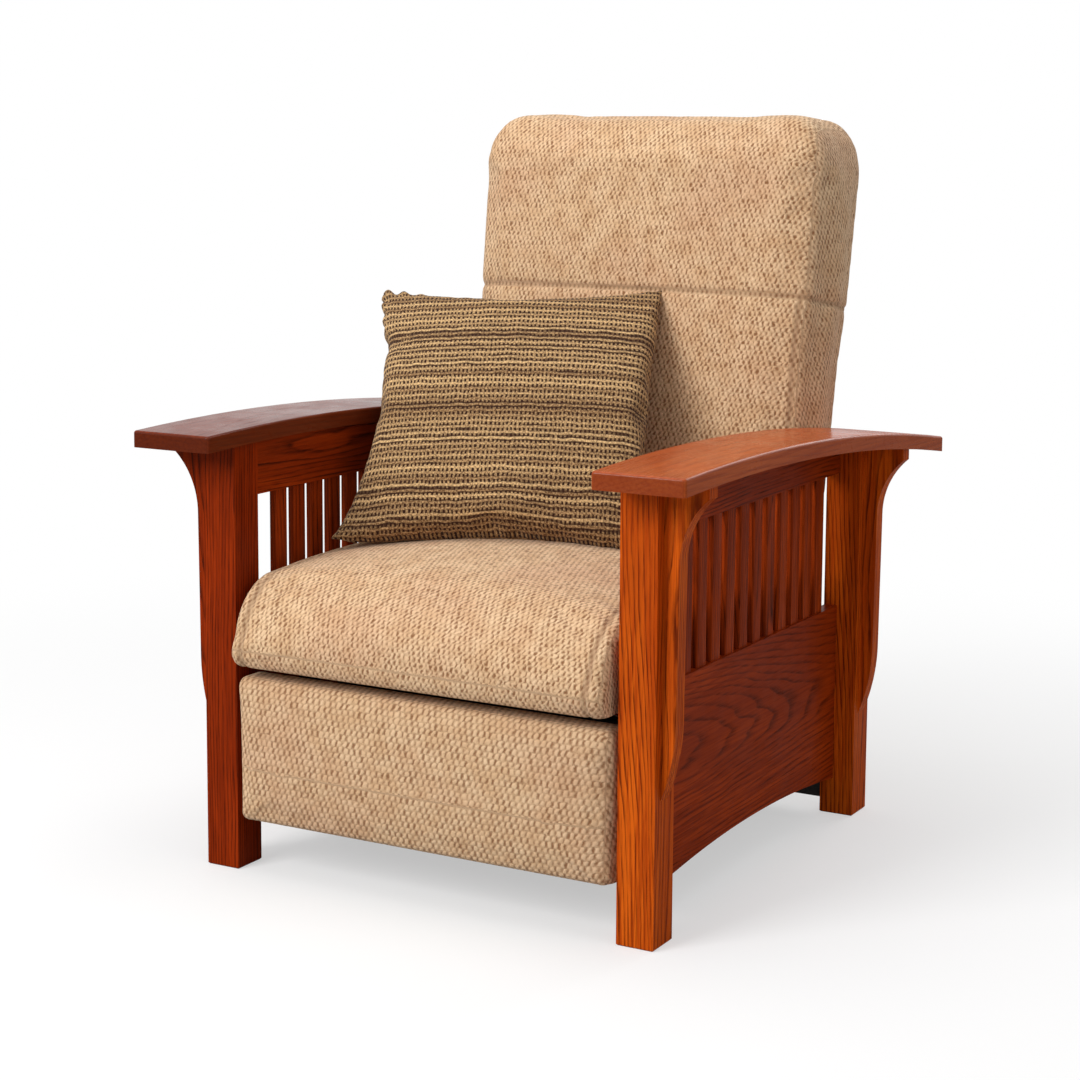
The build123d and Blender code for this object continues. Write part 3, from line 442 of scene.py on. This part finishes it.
standing = {"Points": stands.outputs[0], "Instance": slat.outputs[0],
            "Rotation": (0.0, 0.0, math.radians(90))}
copies = row.add("GeometryNodeInstanceOnPoints", standing)
slat_oak = oak("oak_slats", "Z", (0.3, 0.06, 0.4), (0.02, 0.03), *shaded_oak, ring=0.0048,
               numbered="slat_number")
row.end(copies.outputs[0], slat_oak)

# %% Slats
slat_count, slat_width, slat_depth, slat_pitch, slat_round = 12, 0.030, 0.012, 0.0484, 0.002
right_low, right_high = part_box("right_slats")
slats = row.make("side_slats", "frame", Count=slat_count, Pitch=slat_pitch, Width=slat_width,
                 Depth=slat_depth, Rounding=slat_round, Side=(right_low.x + right_high.x) / 2,
                 First=(right_low.y + right_high.y - slat_pitch * (slat_count - 1)) / 2,
                 Bottom=right_low.z, Top=right_high.z)
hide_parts("left_slats", "right_slats")
print("slats fill", [tuple(round(v, 4) for v in corner) for corner in (right_low, right_high)])

# %% [markdown]
# ## Hidden wood, steel and wire
# The rails under the covers are plain planed wood, the links and plates are steel under black
# enamel with faint drawing lines, the bolts and pins are zinc-plated, and the springs are oiled
# wire. They show from below and with the footrest out.


# %% Steel, wire and painted board
def steel(name, tone, rough, drawn, worn):
    """Steel with a thin finish: drawing lines along one axis and cloudy roughness."""
    make = Recipe(name)
    place = make.add("TexCoord").outputs["Object"]
    lines = make.noise(make.stretch(place, drawn), 900.0)
    cloud = make.noise(place, 35.0, 4.0, 0.6)
    tint = make.mix(make.span(cloud, 0.35, 0.7), tone, worn)
    tint = make.mix(make.span(lines, 0.4, 0.7, 0.0, 0.3), tint, worn)
    spread = make.span(cloud, 0.3, 0.7, rough, rough + 0.16)
    surface = make.add("BsdfPrincipled", {"Base Color": tint, "Metallic": 0.9, "Roughness": spread,
                                          "Normal": make.bump(0.25, 0.0002, lines)}).outputs[0]
    return make.finish(surface)


def black_board():
    """The thin painted board that closes the back below."""
    make = Recipe("painted_board")
    place = make.add("TexCoord").outputs["Object"]
    grit = make.noise(place, 420.0, 3.0)
    cloud = make.noise(place, 11.0, 3.0)
    tint = make.mix(make.span(cloud, 0.3, 0.7), colour(30, 27, 25), colour(42, 37, 33))
    rough = make.span(cloud, 0.3, 0.7, 0.5, 0.66)
    surface = make.add("BsdfPrincipled", {"Base Color": tint, "Roughness": rough,
                                          "Normal": make.bump(0.3, 0.0003, grit)}).outputs[0]
    return make.finish(surface)


# %% Plain rails and the cross rails
plain_wood = colour(206, 172, 122), colour(190, 150, 98), colour(150, 108, 64)
hidden_boards = {"seat_side_rails": "Y", "back_stiles": "Z", "footrest_board": "Z", "corner_blocks": "Z"}
for name, grain in hidden_boards.items():
    put_on(name, oak("wood_" + name, grain, (0.05, 0.11, 0.02), (0.02, 0.03), *plain_wood, ring=0.0065,
                     gloss=0.5, lines=0.4))

across = math.radians(0.8), math.radians(90.6)
for name in ("seat_front_rail", "seat_rear_rail", "back_rails"):
    put_on(name, oak("oak_" + name, "Z", (0.0, 0.09, 0.2), across, *plain_wood, ring=0.0062))
for name in ("front_cross_rail", "rear_cross_rail"):
    put_on(name, oak("oak_" + name, "Z", (0.0, 0.1, 0.05), across, *shade_darkened_oak, ring=0.0056))

# %% Links, plates, bolts and springs
link_steel = steel("link_steel", colour(60, 60, 62), 0.36, (1, 1, 0.05), colour(44, 43, 42))
angle_steel = steel("angle_steel", colour(52, 52, 54), 0.42, (1, 0.05, 1), colour(38, 37, 36))
bolt_steel = steel("bolt_steel", colour(172, 170, 164), 0.3, (0.2, 1, 1), colour(128, 124, 116))
spring_wire = steel("spring_wire", colour(76, 74, 74), 0.4, (1, 1, 1), colour(56, 52, 50))
metal_pieces = {
    link_steel: ("front_swing_links", "rear_swing_links", "front_swing_tube", "rear_swing_tube",
                 "drive_links", "drive_tube", "control_links", "carrier_links", "tilt_links",
                 "footrest_brackets", "back_brackets", "left_seat_plate", "right_seat_plate"),
    angle_steel: ("left_base_angle", "right_base_angle"),
    bolt_steel: ("base_angle_screws", "base_pivot_pins", "seat_plate_bolts", "seat_pivot_pins",
                 "back_bracket_bolts", "drive_pins", "carrier_pins", "footrest_pins", "footrest_screws"),
    spring_wire: ("seat_springs", "back_springs"),
    black_board(): ("rear_dust_board",),
}
for finish, names in metal_pieces.items():
    for name in names:
        put_on(name, finish)
print("metal and paint on", sum(len(names) for names in metal_pieces.values()), "nodes")

# %% [markdown]
# ## Woven covers
# The tan cover is a chenille: fat furry yarns that rise and sink, so pale tufts take turns with small
# dark gaps, like a checkerboard that leans over and has been shaken. The gaps are painted shade: low
# places take a darker tone. Two sine waves times each other give the checks, noise bends them, and each
# check gets a number that sets its own brightness, since no tuft is quite like the next. The pattern
# follows the cloth and not the room, so it reads an attribute that each cushion stores on its points:
# how far along and how far up its cover each point is, and how much painted shade it gets along a seam.
# On the footrest level rows show as well.


# %% Tan chenille
def chenille(name, tones, wide, tall, slant, stray, in_rows):
    """A cover of short furry tufts. wide and tall are one tuft's size in metres, slant leans the
    tufts, stray is how far they wander, and in_rows, 0 to 1, is how much level rows show."""
    light, tone, shade_tone = tones
    make = Recipe(name)
    cloth = make.add("Attribute", attribute_name="cloth").outputs["Vector"]
    strayed = make.vector("ADD", cloth, make.wander(cloth, 120.0, 3.0, (stray, stray, 0.0)))
    parts = make.add("SeparateXYZ", {0: strayed}).outputs
    rows = make.sum("DIVIDE", parts[1], tall)
    columns = make.sum("MULTIPLY_ADD", rows, slant, make.sum("DIVIDE", parts[0], wide))
    number = make.sum("MULTIPLY_ADD", make.sum("FLOOR", rows), 17.0, make.sum("FLOOR", columns))
    luck = make.chance(number)
    up_wave = make.wave(rows)
    height = make.sum("MULTIPLY", make.wave(columns), up_wave)
    level_rows = make.sum("SUBTRACT", make.sum("ABSOLUTE", up_wave), 0.5)
    height = make.sum("MULTIPLY_ADD", level_rows, in_rows, height)
    fluff = make.sum("SUBTRACT", make.noise(cloth, 750.0, 3.0, 0.7), 0.5)
    height = make.sum("MULTIPLY_ADD", fluff, 1.6, height)
    height = make.sum("MULTIPLY_ADD", make.sum("SUBTRACT", luck, 0.5), 0.6, height)
    cloud = make.noise(cloth, 26.0, 4.0, 0.6)
    broad = make.noise(cloth, 5.0)
    yarn = make.mix(make.span(cloud, 0.34, 0.68), light, tone)
    yarn = make.mix(make.sum("MULTIPLY", luck, 0.4), yarn, tone)
    blush = make.mix(make.span(broad, 0.42, 0.68, 0.0, 0.3), yarn, colour(214, 164, 134))
    # Painted shade in the dips between tufts: the lower the cloth, the nearer its colour comes to the
    # darker tone.
    shade = make.mix(make.span(height, -1.25, 0.6), shade_tone, blush)
    # Painted shade along the seams: the cover's third value pulls the colour towards the darker tone.
    seam_shade = make.add("SeparateXYZ", {0: cloth}).outputs[2]
    shade = make.mix(make.sum("MULTIPLY", seam_shade, 0.5), shade, shade_tone)
    surface = make.add("BsdfPrincipled", {"Base Color": shade, "Roughness": 0.92,
                                          "Normal": make.bump(0.5, 0.0012, height),
                                          "Specular IOR Level": 0.1, "Sheen Weight": 0.2,
                                          "Sheen Roughness": 0.5,
                                          "Sheen Tint": (1.0, 0.92, 0.82, 1.0)}).outputs[0]
    return make.finish(surface)


# The third tan tone is painted shade, for the dips between tufts and along the seams.
tan_tones = colour(240, 206, 166), colour(222, 182, 140), colour(138, 94, 60)
tan_seat = chenille("tan_chenille_seat", tan_tones, wide=0.0043, tall=0.0080, slant=0.45,
                    stray=0.011, in_rows=0.1)
tan_back = chenille("tan_chenille_back", tan_tones, wide=0.0042, tall=0.0078, slant=0.3,
                    stray=0.010, in_rows=0.1)
tan_foot = chenille("tan_chenille_footrest", tan_tones, wide=0.0050, tall=0.0092, slant=0.5,
                    stray=0.007, in_rows=0.45)

# %% [markdown]
# The pillow's cover is a loose basket weave: pale slubby yarns run across, thinner ones tie them
# together, and the dark ground shows between them in rows of small dashes. Each row has its own
# brightness, and here and there the ties are thin, which leaves a dark line.


# %% Pillow weave
def basket_weave(row_pitch, tie_pitch):
    make = Recipe("pillow_weave")
    cloth = make.add("Attribute", attribute_name="cloth").outputs["Vector"]
    strayed = make.vector("ADD", cloth, make.wander(cloth, 45.0, 3.0, (0.009, 0.008, 0.0)))
    parts = make.add("SeparateXYZ", {0: strayed}).outputs
    rows = make.sum("DIVIDE", parts[1], row_pitch)
    ties = make.sum("DIVIDE", parts[0], tie_pitch)
    draws = make.add("SeparateXYZ", {0: make.chance(make.sum("FLOOR", rows), "Color")}).outputs
    slub = make.noise(cloth, 300.0, 3.0, 0.65)
    across_yarn = make.span(make.wave(make.sum("FRACT", rows)), 0.62, 0.96)
    patchy = make.noise(make.stretch(cloth, (1, 3, 1)), 22.0)
    crossed = make.span(make.sum("MULTIPLY_ADD", draws[2], 0.5, patchy), 0.5, 0.75, 0.15, 1.0)
    up_thread = make.span(make.wave(make.sum("FRACT", ties)), 0.5, 0.85, 0.0, 0.8)
    height = make.sum("MAXIMUM", across_yarn, make.sum("MULTIPLY", up_thread, crossed))
    height = make.sum("MULTIPLY", height, make.span(slub, 0.25, 0.6, 0.5, 1.0))
    worn = make.sum("MULTIPLY_ADD", draws[0], 0.5, make.span(slub, 0.35, 0.7, 0.0, 0.5))
    pale = make.mix(worn, colour(112, 76, 44), colour(244, 202, 144))
    ground = make.mix(make.noise(cloth, 60.0), colour(34, 14, 5), colour(58, 28, 12))
    woven = make.mix(height, ground, pale)
    high = make.sum("MULTIPLY_ADD", slub, 0.35, height)
    surface = make.add("BsdfPrincipled", {"Base Color": woven, "Roughness": 0.85,
                                          "Normal": make.bump(0.7, 0.0015, high),
                                          "Specular IOR Level": 0.15, "Sheen Weight": 0.08}).outputs[0]
    return make.finish(surface)


pillow_weave = basket_weave(row_pitch=0.0108, tie_pitch=0.0072)
print("covers: three chenilles and a basket weave")

# %% [markdown]
# ## Padding
# Each cushion starts as a copy of its plain solid. Voxel remeshing turns it into even small
# faces, and a short cloth simulation with air pressure inside makes it swell as stuffing does,
# fuller where nothing holds it and tight along its edges. How far any point may move is capped,
# so the cushion stays in its place. Seams are pressed in afterwards, because remeshing would
# have rubbed them out.


# %% Meshes in and out
def copy_solid(node, name):
    """A closed copy of a frame node's mesh."""
    mesh = nodes[node].data.copy()
    mesh.name = name
    mesh.materials.clear()
    shape = bmesh.new()
    shape.from_mesh(mesh)
    bmesh.ops.remove_doubles(shape, verts=shape.verts, dist=0.00002)
    bmesh.ops.recalc_face_normals(shape, faces=shape.faces)
    shape.to_mesh(mesh)
    shape.free()
    made = bpy.data.objects.new(name, mesh)
    bpy.context.scene.collection.objects.link(made)
    return made


def bake_down(made):
    """Replaces the mesh by what its modifiers make of it."""
    graph = bpy.context.evaluated_depsgraph_get()
    mesh = bpy.data.meshes.new_from_object(made.evaluated_get(graph), depsgraph=graph)
    made.modifiers.clear()
    made.data = mesh
    mesh.name = made.name


def even_faces(made, voxel):
    remesh = made.modifiers.new("even", "REMESH")
    remesh.mode = "VOXEL"
    remesh.voxel_size = voxel
    bake_down(made)


def finer(made):
    subdivide = made.modifiers.new("finer", "SUBSURF")
    subdivide.levels = subdivide.render_levels = 1
    bake_down(made)


def points_of(made, kind="co"):
    """The points of a mesh as rows of a table, or their normals."""
    flat = np.empty(len(made.data.vertices) * 3)
    made.data.vertices.foreach_get(kind, flat)
    return flat.reshape(-1, 3)


def place_points(made, points):
    made.data.vertices.foreach_set("co", np.ascontiguousarray(points, float).ravel())
    made.data.update()


def smooth_faces(made):
    made.data.polygons.foreach_set("use_smooth", [True] * len(made.data.polygons))


def rise(values, start, width):
    """0 below start, 1 above start plus width, and a straight slope between."""
    return np.clip((values - start) / width, 0, 1)


# %% Cloth under pressure
def inflate(made, frames, held=None, **settings):
    """Runs Blender's cloth with air inside, without weight, and keeps its last frame. held gives
    each point's hold, 0 to 1."""
    modifier = made.modifiers.new("cloth", "CLOTH")
    modifier.settings.use_pressure = True
    modifier.settings.effector_weights.gravity = 0
    for key, value in settings.items():
        setattr(modifier.settings, key, value)
    modifier.point_cache.frame_end = frames + 1
    if held is not None:
        group = made.vertex_groups.new(name="held")
        steps = np.round(held, 1)
        for weight in np.unique(steps):
            if weight > 0:
                group.add(np.nonzero(steps == weight)[0].tolist(), float(weight), "REPLACE")
        modifier.settings.vertex_group_mass = "held"
    for frame_number in range(1, frames + 1):
        bpy.context.scene.frame_set(frame_number)
    bake_down(made)
    bpy.context.scene.frame_set(1)
    made.vertex_groups.clear()


def swell(made, pressure, cap, held, frames):
    """Blows a cushion up, with a limit on how far each point may move."""
    before = points_of(made)
    inflate(made, frames, held, uniform_pressure_force=pressure, tension_stiffness=8.0,
            compression_stiffness=8.0, shear_stiffness=4.0, bending_stiffness=0.8, quality=4)
    moved = points_of(made) - before
    length = np.linalg.norm(moved, axis=1, keepdims=True)
    moved *= cap * np.tanh(length / cap) / np.maximum(length, 1e-9)
    place_points(made, before + moved)
    print(made.name, "swelled up to", round(float(length.max()) * 1000, 1), "mm")


# %% [markdown]
# A woven pattern has to know where on the cloth each point lies. The cover runs from the front
# over the top to the rear like a belt, so one measure is the way along the cushion's outline,
# seen from the side, and the other the way across the chair. The cushion's ends face sideways
# and are measured flat.


# %% Where each point lies on its cover
def hull(flat):
    """The outline round flat points, anticlockwise."""
    order = sorted(map(tuple, np.round(flat, 4)))
    rings = []
    for sequence in (order, order[::-1]):
        side = []
        for point in sequence:
            while len(side) > 1 and ((side[-1][0] - side[-2][0]) * (point[1] - side[-2][1])
                                     - (side[-1][1] - side[-2][1]) * (point[0] - side[-2][0])) <= 0:
                side.pop()
            side.append(point)
        rings += side[:-1]
    return np.array(rings)


def outline_length(flat, ring):
    """How far along a closed outline each point is, by the nearest place on it."""
    along = np.roll(ring, -1, axis=0) - ring
    lengths = np.linalg.norm(along, axis=1)
    starts = np.concatenate([[0], np.cumsum(lengths)[:-1]])
    best = np.full(len(flat), 1e9)
    result = np.zeros(len(flat))
    for start, step, length, offset in zip(ring, along, lengths, starts):
        share = np.clip(((flat - start) @ step) / max(length * length, 1e-12), 0, 1)
        distance = np.linalg.norm(flat - start - share[:, None] * step, axis=1)
        closer = distance < best
        best = np.where(closer, distance, best)
        result = np.where(closer, offset + share * length, result)
    return result


middle_band, end_share, end_offset = 0.03, 0.75, 0.6


def lay_cloth(made, seam_shade=0.0):
    """Stores where each point lies on its cover, across the chair and along the wrap, and how much
    painted shade its seams give it, from 0 to 1."""
    points, normals = points_of(made), points_of(made, "normal")
    flat = np.stack([points[:, 1], points[:, 2]], axis=1)
    wrap = outline_length(flat, hull(flat[np.abs(points[:, 0]) < middle_band]))
    cloth = np.stack([points[:, 0], wrap, np.full(len(points), seam_shade)], axis=1)
    sideways = np.abs(normals[:, 0]) > end_share
    cloth[sideways, 0] = flat[sideways, 0] + np.sign(points[sideways, 0]) * end_offset
    cloth[sideways, 1] = flat[sideways, 1]
    stored = made.data.attributes.new("cloth", "FLOAT_VECTOR", "POINT")
    stored.data.foreach_set("vector", cloth.ravel())


def press_seam(points, normals, off, width, depth):
    """Pushes points in along a seam: off is each point's distance from the seam's line."""
    return points - normals * (depth * np.exp(-(off / width) ** 2))[:, None]


def dress(made, finish, body, slot, fill, *replaced):
    """Gives a padded piece its cover and its body, and lets it stand for its solid."""
    made.data.materials.clear()
    made.data.materials.append(finish)
    smooth_faces(made)
    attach(made, body)
    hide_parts(*replaced)
    low, high = np.min(points_of(made), axis=0), np.max(points_of(made), axis=0)
    cad = [np.array(corner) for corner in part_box(replaced[0])]
    proud = [round(float(v) * 1000, 1) for v in (*(cad[0] - low), *(high - cad[1]))]
    print(made.name, len(made.data.polygons), "faces, stands proud by", proud, "mm")


# %% [markdown]
# ## Seat cushion
# A boxed cushion with a rolled front. Its ends are separate strips of cover, sewn on about
# 25 mm in from the sides, and that seam shows as a line over the roll. It could be lofted, but
# the swelling gives the top its soft unevenness. What lies down between the rails can't swell,
# and the front edge is drawn up a little at the end, which opens the dark gap over the footrest.

# %% Seat cushion
rail_top, roll_start = 0.398, -0.402
end_strip, strip_width, strip_hold = 0.296, 0.014, 0.9
underside, underside_band = 0.326, 0.006
end_seam, end_seam_width, end_seam_depth, end_seam_shade_width = 0.289, 0.0035, 0.0022, 0.0024
lip_top, lip_height, lip_rear, lip_run, lip_lift = 0.345, 0.03, -0.36, 0.04, 0.005


def between_rails(points):
    return (points[:, 2] < rail_top) & (points[:, 1] > roll_start)


seat = copy_solid("seat_cushion", "seat_cushion_cover")
even_faces(seat, voxel=0.006)
points = points_of(seat)
strips = rise(np.abs(points[:, 0]), end_strip, strip_width) * strip_hold
bottom = rise(-points[:, 2], -underside, underside_band)
held = np.maximum(np.maximum(between_rails(points).astype(float), bottom), strips)
swell(seat, pressure=4.0, cap=0.009, held=held, frames=15)
finer(seat)
points, normals = points_of(seat), points_of(seat, "normal")
on_top = (normals[:, 0] ** 2 < 0.6) & ~between_rails(points)
off_seam = np.where(on_top, np.abs(points[:, 0]) - end_seam, 1.0)
points = press_seam(points, normals, off_seam, end_seam_width, end_seam_depth)
front_lip = rise(-points[:, 2], -lip_top, lip_height) * rise(-points[:, 1], -lip_rear, lip_run)
points[:, 2] += lip_lift * front_lip
place_points(seat, points)
# Painted shade along the end seams, strongest on their lines, is stored as the cover's third value.
lay_cloth(seat, 0.8 * np.exp(-(off_seam / end_seam_shade_width) ** 2))
dress(seat, tan_seat, "seat", "tan_fabric", 0.9, "seat_cushion")

# %% [markdown]
# ## Back cushion
# Two pads, one above the other, in one cover with a level seam between them. Its corners are
# round, and the head pad is rounder still. The rear is flat, where it wraps the wooden frame.
# The back leans, so its places are measured up along it and inwards from the line of its hinge.

# %% Back cushion
lean = math.radians(11.4)
hinge = np.array([0.206, 0.345])
up_the_back = np.array([math.sin(lean), math.cos(lean)])
into_the_back = np.array([math.cos(lean), -math.sin(lean)])
stile_top, stile_side, rear_start, rear_width, cover_depth = 0.702, 0.3055, 0.05, 0.04, 0.09
level_seam_at, level_seam_width, level_seam_depth = 0.508, 0.004, 0.002
corner_seam_at, corner_seam_width, corner_seam_depth = 0.288, 0.0035, 0.0016
seam_shade_width = 0.002
above_arms, above_arms_run, head_width = 0.42, 0.1, 0.006
shoulder_start, shoulder_run, front_lift, rear_lift = 0.66, 0.09, 0.008, 0.010


def back_places(points):
    """How far up the back each point is, and how deep."""
    flat = np.stack([points[:, 1], points[:, 2]], axis=1) - hinge
    return flat @ up_the_back, flat @ into_the_back


def round_the_frame(points, up, deep):
    return (deep > 0.0) & (up < stile_top) & (np.abs(points[:, 0]) < stile_side)


back = copy_solid("back_cushion", "back_cushion_cover")
even_faces(back, voxel=0.0075)
points = points_of(back)
up, deep = back_places(points)
framed = round_the_frame(points, up, deep).astype(float)
held = np.maximum(framed, rise(deep, rear_start, rear_width))
swell(back, pressure=4.0, cap=0.009, held=held, frames=14)
finer(back)

# %% Seams and shoulders of the back
points, normals = points_of(back), points_of(back, "normal")
up, deep = back_places(points)
outer = ~round_the_frame(points, up, deep) & (deep < cover_depth)
level_seam = np.where(outer, up - level_seam_at, 1.0)
points = press_seam(points, normals, level_seam, level_seam_width, level_seam_depth)
lower_front = outer & (up < level_seam_at) & (deep < 0.0)
corner_seam = np.where(lower_front, np.abs(points[:, 0]) - corner_seam_at, 1.0)
points = press_seam(points, normals, corner_seam, corner_seam_width, corner_seam_depth)
off_middle = np.abs(points[:, 0])
widening = head_width * rise(up, above_arms, above_arms_run) * rise(off_middle, 0.2, 0.1)
points[:, 0] += np.sign(points[:, 0]) * widening
shoulder = rise(up, shoulder_start, shoulder_run) * rise(np.abs(points[:, 0]), 0.16, 0.12)
lift = shoulder * (front_lift + rear_lift * rise(deep, -0.02, 0.08))
points[:, 1:] += lift[:, None] * up_the_back
place_points(back, points)
# Painted shade along the back's seams, strongest on their lines, is stored as the cover's third value.
nearest = np.minimum(np.abs(level_seam), np.abs(corner_seam))
lay_cloth(back, 0.5 * np.exp(-(nearest / seam_shade_width) ** 2))
dress(back, tan_back, "back", "tan_fabric", 0.9, "back_cushion")

# %% [markdown]
# ## Footrest pad and the back's outer panel
# The footrest is a thin pad stapled round a board, with soft corners. Its rear and its top edge
# are held, because the board and the seat leave them no room. The outer back is a board covered
# in the same cloth. It is flat, so it gets even faces and the cover, and no swelling.

# %% Footrest pad
board_face, board_band, top_edge, top_band = -0.408, 0.012, 0.3, 0.006
lowered_from, lowered_run, lowered_by = 0.26, 0.03, 0.005
footrest = copy_solid("footrest_pad", "footrest_cover")
even_faces(footrest, voxel=0.005)
points = points_of(footrest)
held = np.maximum(rise(points[:, 1], board_face, board_band), rise(points[:, 2], top_edge, top_band))
swell(footrest, pressure=3.0, cap=0.004, held=held, frames=20)
finer(footrest)
points = points_of(footrest)
points[:, 2] -= lowered_by * rise(points[:, 2], lowered_from, lowered_run)
place_points(footrest, points)
lay_cloth(footrest)
dress(footrest, tan_foot, "footrest", "tan_fabric", 0.9, "footrest_pad")

# %% Outer back
panel = copy_solid("back_outer_panel", "outer_back_cover")
even_faces(panel, voxel=0.0035)
lay_cloth(panel)
panel.data.materials.append(tan_back)
smooth_faces(panel)
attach(panel, "back")
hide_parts("back_outer_panel")
print("outer back:", len(panel.data.polygons), "faces")

# %% [markdown]
# ## Throw pillow
# Two squares of cloth sewn together and stuffed. Instead of copying the solid, this one is made
# as a real pillow is: two flat sheets that share their edge, blown up by the simulation. The
# stuffing then pulls the sides in and leaves the corners as ears, with puckers along the seam.
# It is simulated lying flat at the origin and set in its place afterwards.


# %% Throw pillow
def sewn_sheets(name, count, half, depth):
    """Two square grids of count by count faces that share their border and bulge apart."""
    steps = np.linspace(-1, 1, count + 1)
    points, numbers, faces, places = [], {}, [], []
    for sheet in (1, -1):
        for line, high in enumerate(steps):
            for column, wide in enumerate(steps):
                border = line in (0, count) or column in (0, count)
                if border and sheet < 0:
                    numbers[sheet, line, column] = numbers[1, line, column]
                    continue
                numbers[sheet, line, column] = len(points)
                bulge = ((1 - high * high) * (1 - wide * wide)) ** 0.5
                points.append((wide * half, high * half, sheet * depth * bulge))
                places.append((wide * half, high * half, 0.0))
        for line in range(count):
            for column in range(count):
                corners = [(line, column), (line, column + 1), (line + 1, column + 1),
                           (line + 1, column)]
                faces.append([numbers[sheet, *corner] for corner in corners][::sheet])
    mesh = bpy.data.meshes.new(name)
    mesh.from_pydata(points, [], faces)
    stored = mesh.attributes.new("cloth", "FLOAT_VECTOR", "POINT")
    stored.data.foreach_set("vector", np.array(places).ravel())
    made = bpy.data.objects.new(name, mesh)
    bpy.context.scene.collection.objects.link(made)
    return made


sheet_faces, sheet_half, sheet_bulge = 72, 0.262, 0.044
pillow_half, pillow_depth = 0.24, 0.062
pillow = sewn_sheets("throw_pillow_cover", sheet_faces, sheet_half, sheet_bulge)
inflate(pillow, frames=19, uniform_pressure_force=1.35, tension_stiffness=20.0,
        compression_stiffness=20.0, shear_stiffness=7.0, bending_stiffness=0.03, quality=5)
finer(pillow)
flat = points_of(pillow)
flat[:, :2] *= pillow_half / np.abs(flat[:, :2]).max()
flat[:, 2] *= pillow_depth / np.abs(flat[:, 2]).max()

# %% [markdown]
# A pillow that has been sat against isn't even. The pushes below follow the photograph: the left
# and top edges sink in, the corners stretch into ears of different lengths, a notch marks a tuck
# below the left ear, folds lie where the pillow meets the seat, and the seam ripples all round.

# %% Settling the pillow
along, up = flat[:, 0] / pillow_half, flat[:, 1] / pillow_half
left_sink, top_sink = 0.022, 0.012
flat[:, 0] += left_sink * np.clip(-along, 0, 1) ** 3 * np.clip(1 - up ** 2, 0, 1)
flat[:, 1] -= top_sink * np.clip(up, 0, 1) ** 3 * np.clip(1 - along ** 2, 0, 1)
ears = (((-1, 1), (0.001, 0.016), 4), ((1, 1), (-0.006, 0.009), 4), ((-1, -1), (-0.016, 0.014), 5),
        ((-1, 1), (0.008, -0.010), 16))
for (column, line), (push_across, push_up), sharpness in ears:
    near_corner = np.clip((1 + column * along) / 2, 0, 1) * np.clip((1 + line * up) / 2, 0, 1)
    flat[:, 0] += push_across * near_corner ** sharpness
    flat[:, 1] += push_up * near_corner ** sharpness
notch_up, notch_long, notch_tall, notch_in, notch_deep = 0.5, 0.22, 0.1, 0.008, 0.004
notch = np.exp(-((along + 1) / notch_long) ** 2 - ((up - notch_up) / notch_tall) ** 2)
flat[:, 0] += notch_in * notch
flat[:, 2] -= notch_deep * notch * np.sign(flat[:, 2])
folds_start, folds_run, fold_depth, foot_lift = 0.45, 0.5, 0.006, 0.008
fold_share = rise(-up, folds_start, folds_run)
folds = np.sin(along * 9.0 + 0.7) * fold_share * np.clip(1 - np.abs(up) ** 8, 0, 1)
flat[:, 2] += fold_depth * folds
foot_bow = fold_share ** 2 * np.cos(along * 2.4) * np.clip(1 - np.abs(along) ** 6, 0, 1)
flat[:, 1] += foot_lift * foot_bow
seam_band, ear_reach, seam_ripple, ear_ripple = 0.16, 0.25, 0.0012, 0.0022
near_seam = np.clip(1 - (1 - np.maximum(np.abs(along), np.abs(up))) / seam_band, 0, 1) ** 2
near_ear = np.exp(-((along + 1) ** 2 + (up - 1) ** 2) / ear_reach)
ripple = near_seam * (seam_ripple + ear_ripple * near_ear)
flat[:, 0] += ripple * np.sin(up * 58.0) * (np.abs(along) > np.abs(up))
flat[:, 1] += ripple * np.sin(along * 52.0) * (np.abs(up) >= np.abs(along))
flat[:, 2] += 1.6 * ripple * np.sin(along * 47.0 + up * 41.0)

# %% The pillow in its place
pillow_middle = np.array([-0.1, 0.0023, 0.6615])
turn, rake, pillow_roll = math.radians(20), math.radians(40), math.radians(1.5)
side_way = np.array([math.cos(turn), math.sin(turn), 0.0])
face_up = np.array([-math.sin(turn) * math.sin(rake), math.cos(turn) * math.sin(rake), math.cos(rake)])
pillow_right = side_way * math.cos(pillow_roll) + face_up * math.sin(pillow_roll)
pillow_up = face_up * math.cos(pillow_roll) - side_way * math.sin(pillow_roll)
pillow_front = np.cross(pillow_right, pillow_up)
place_points(pillow, pillow_middle + flat @ np.array([pillow_right, pillow_up, pillow_front]))
dress(pillow, pillow_weave, "pillow", "pillow_fabric", 0.7, "throw_pillow")
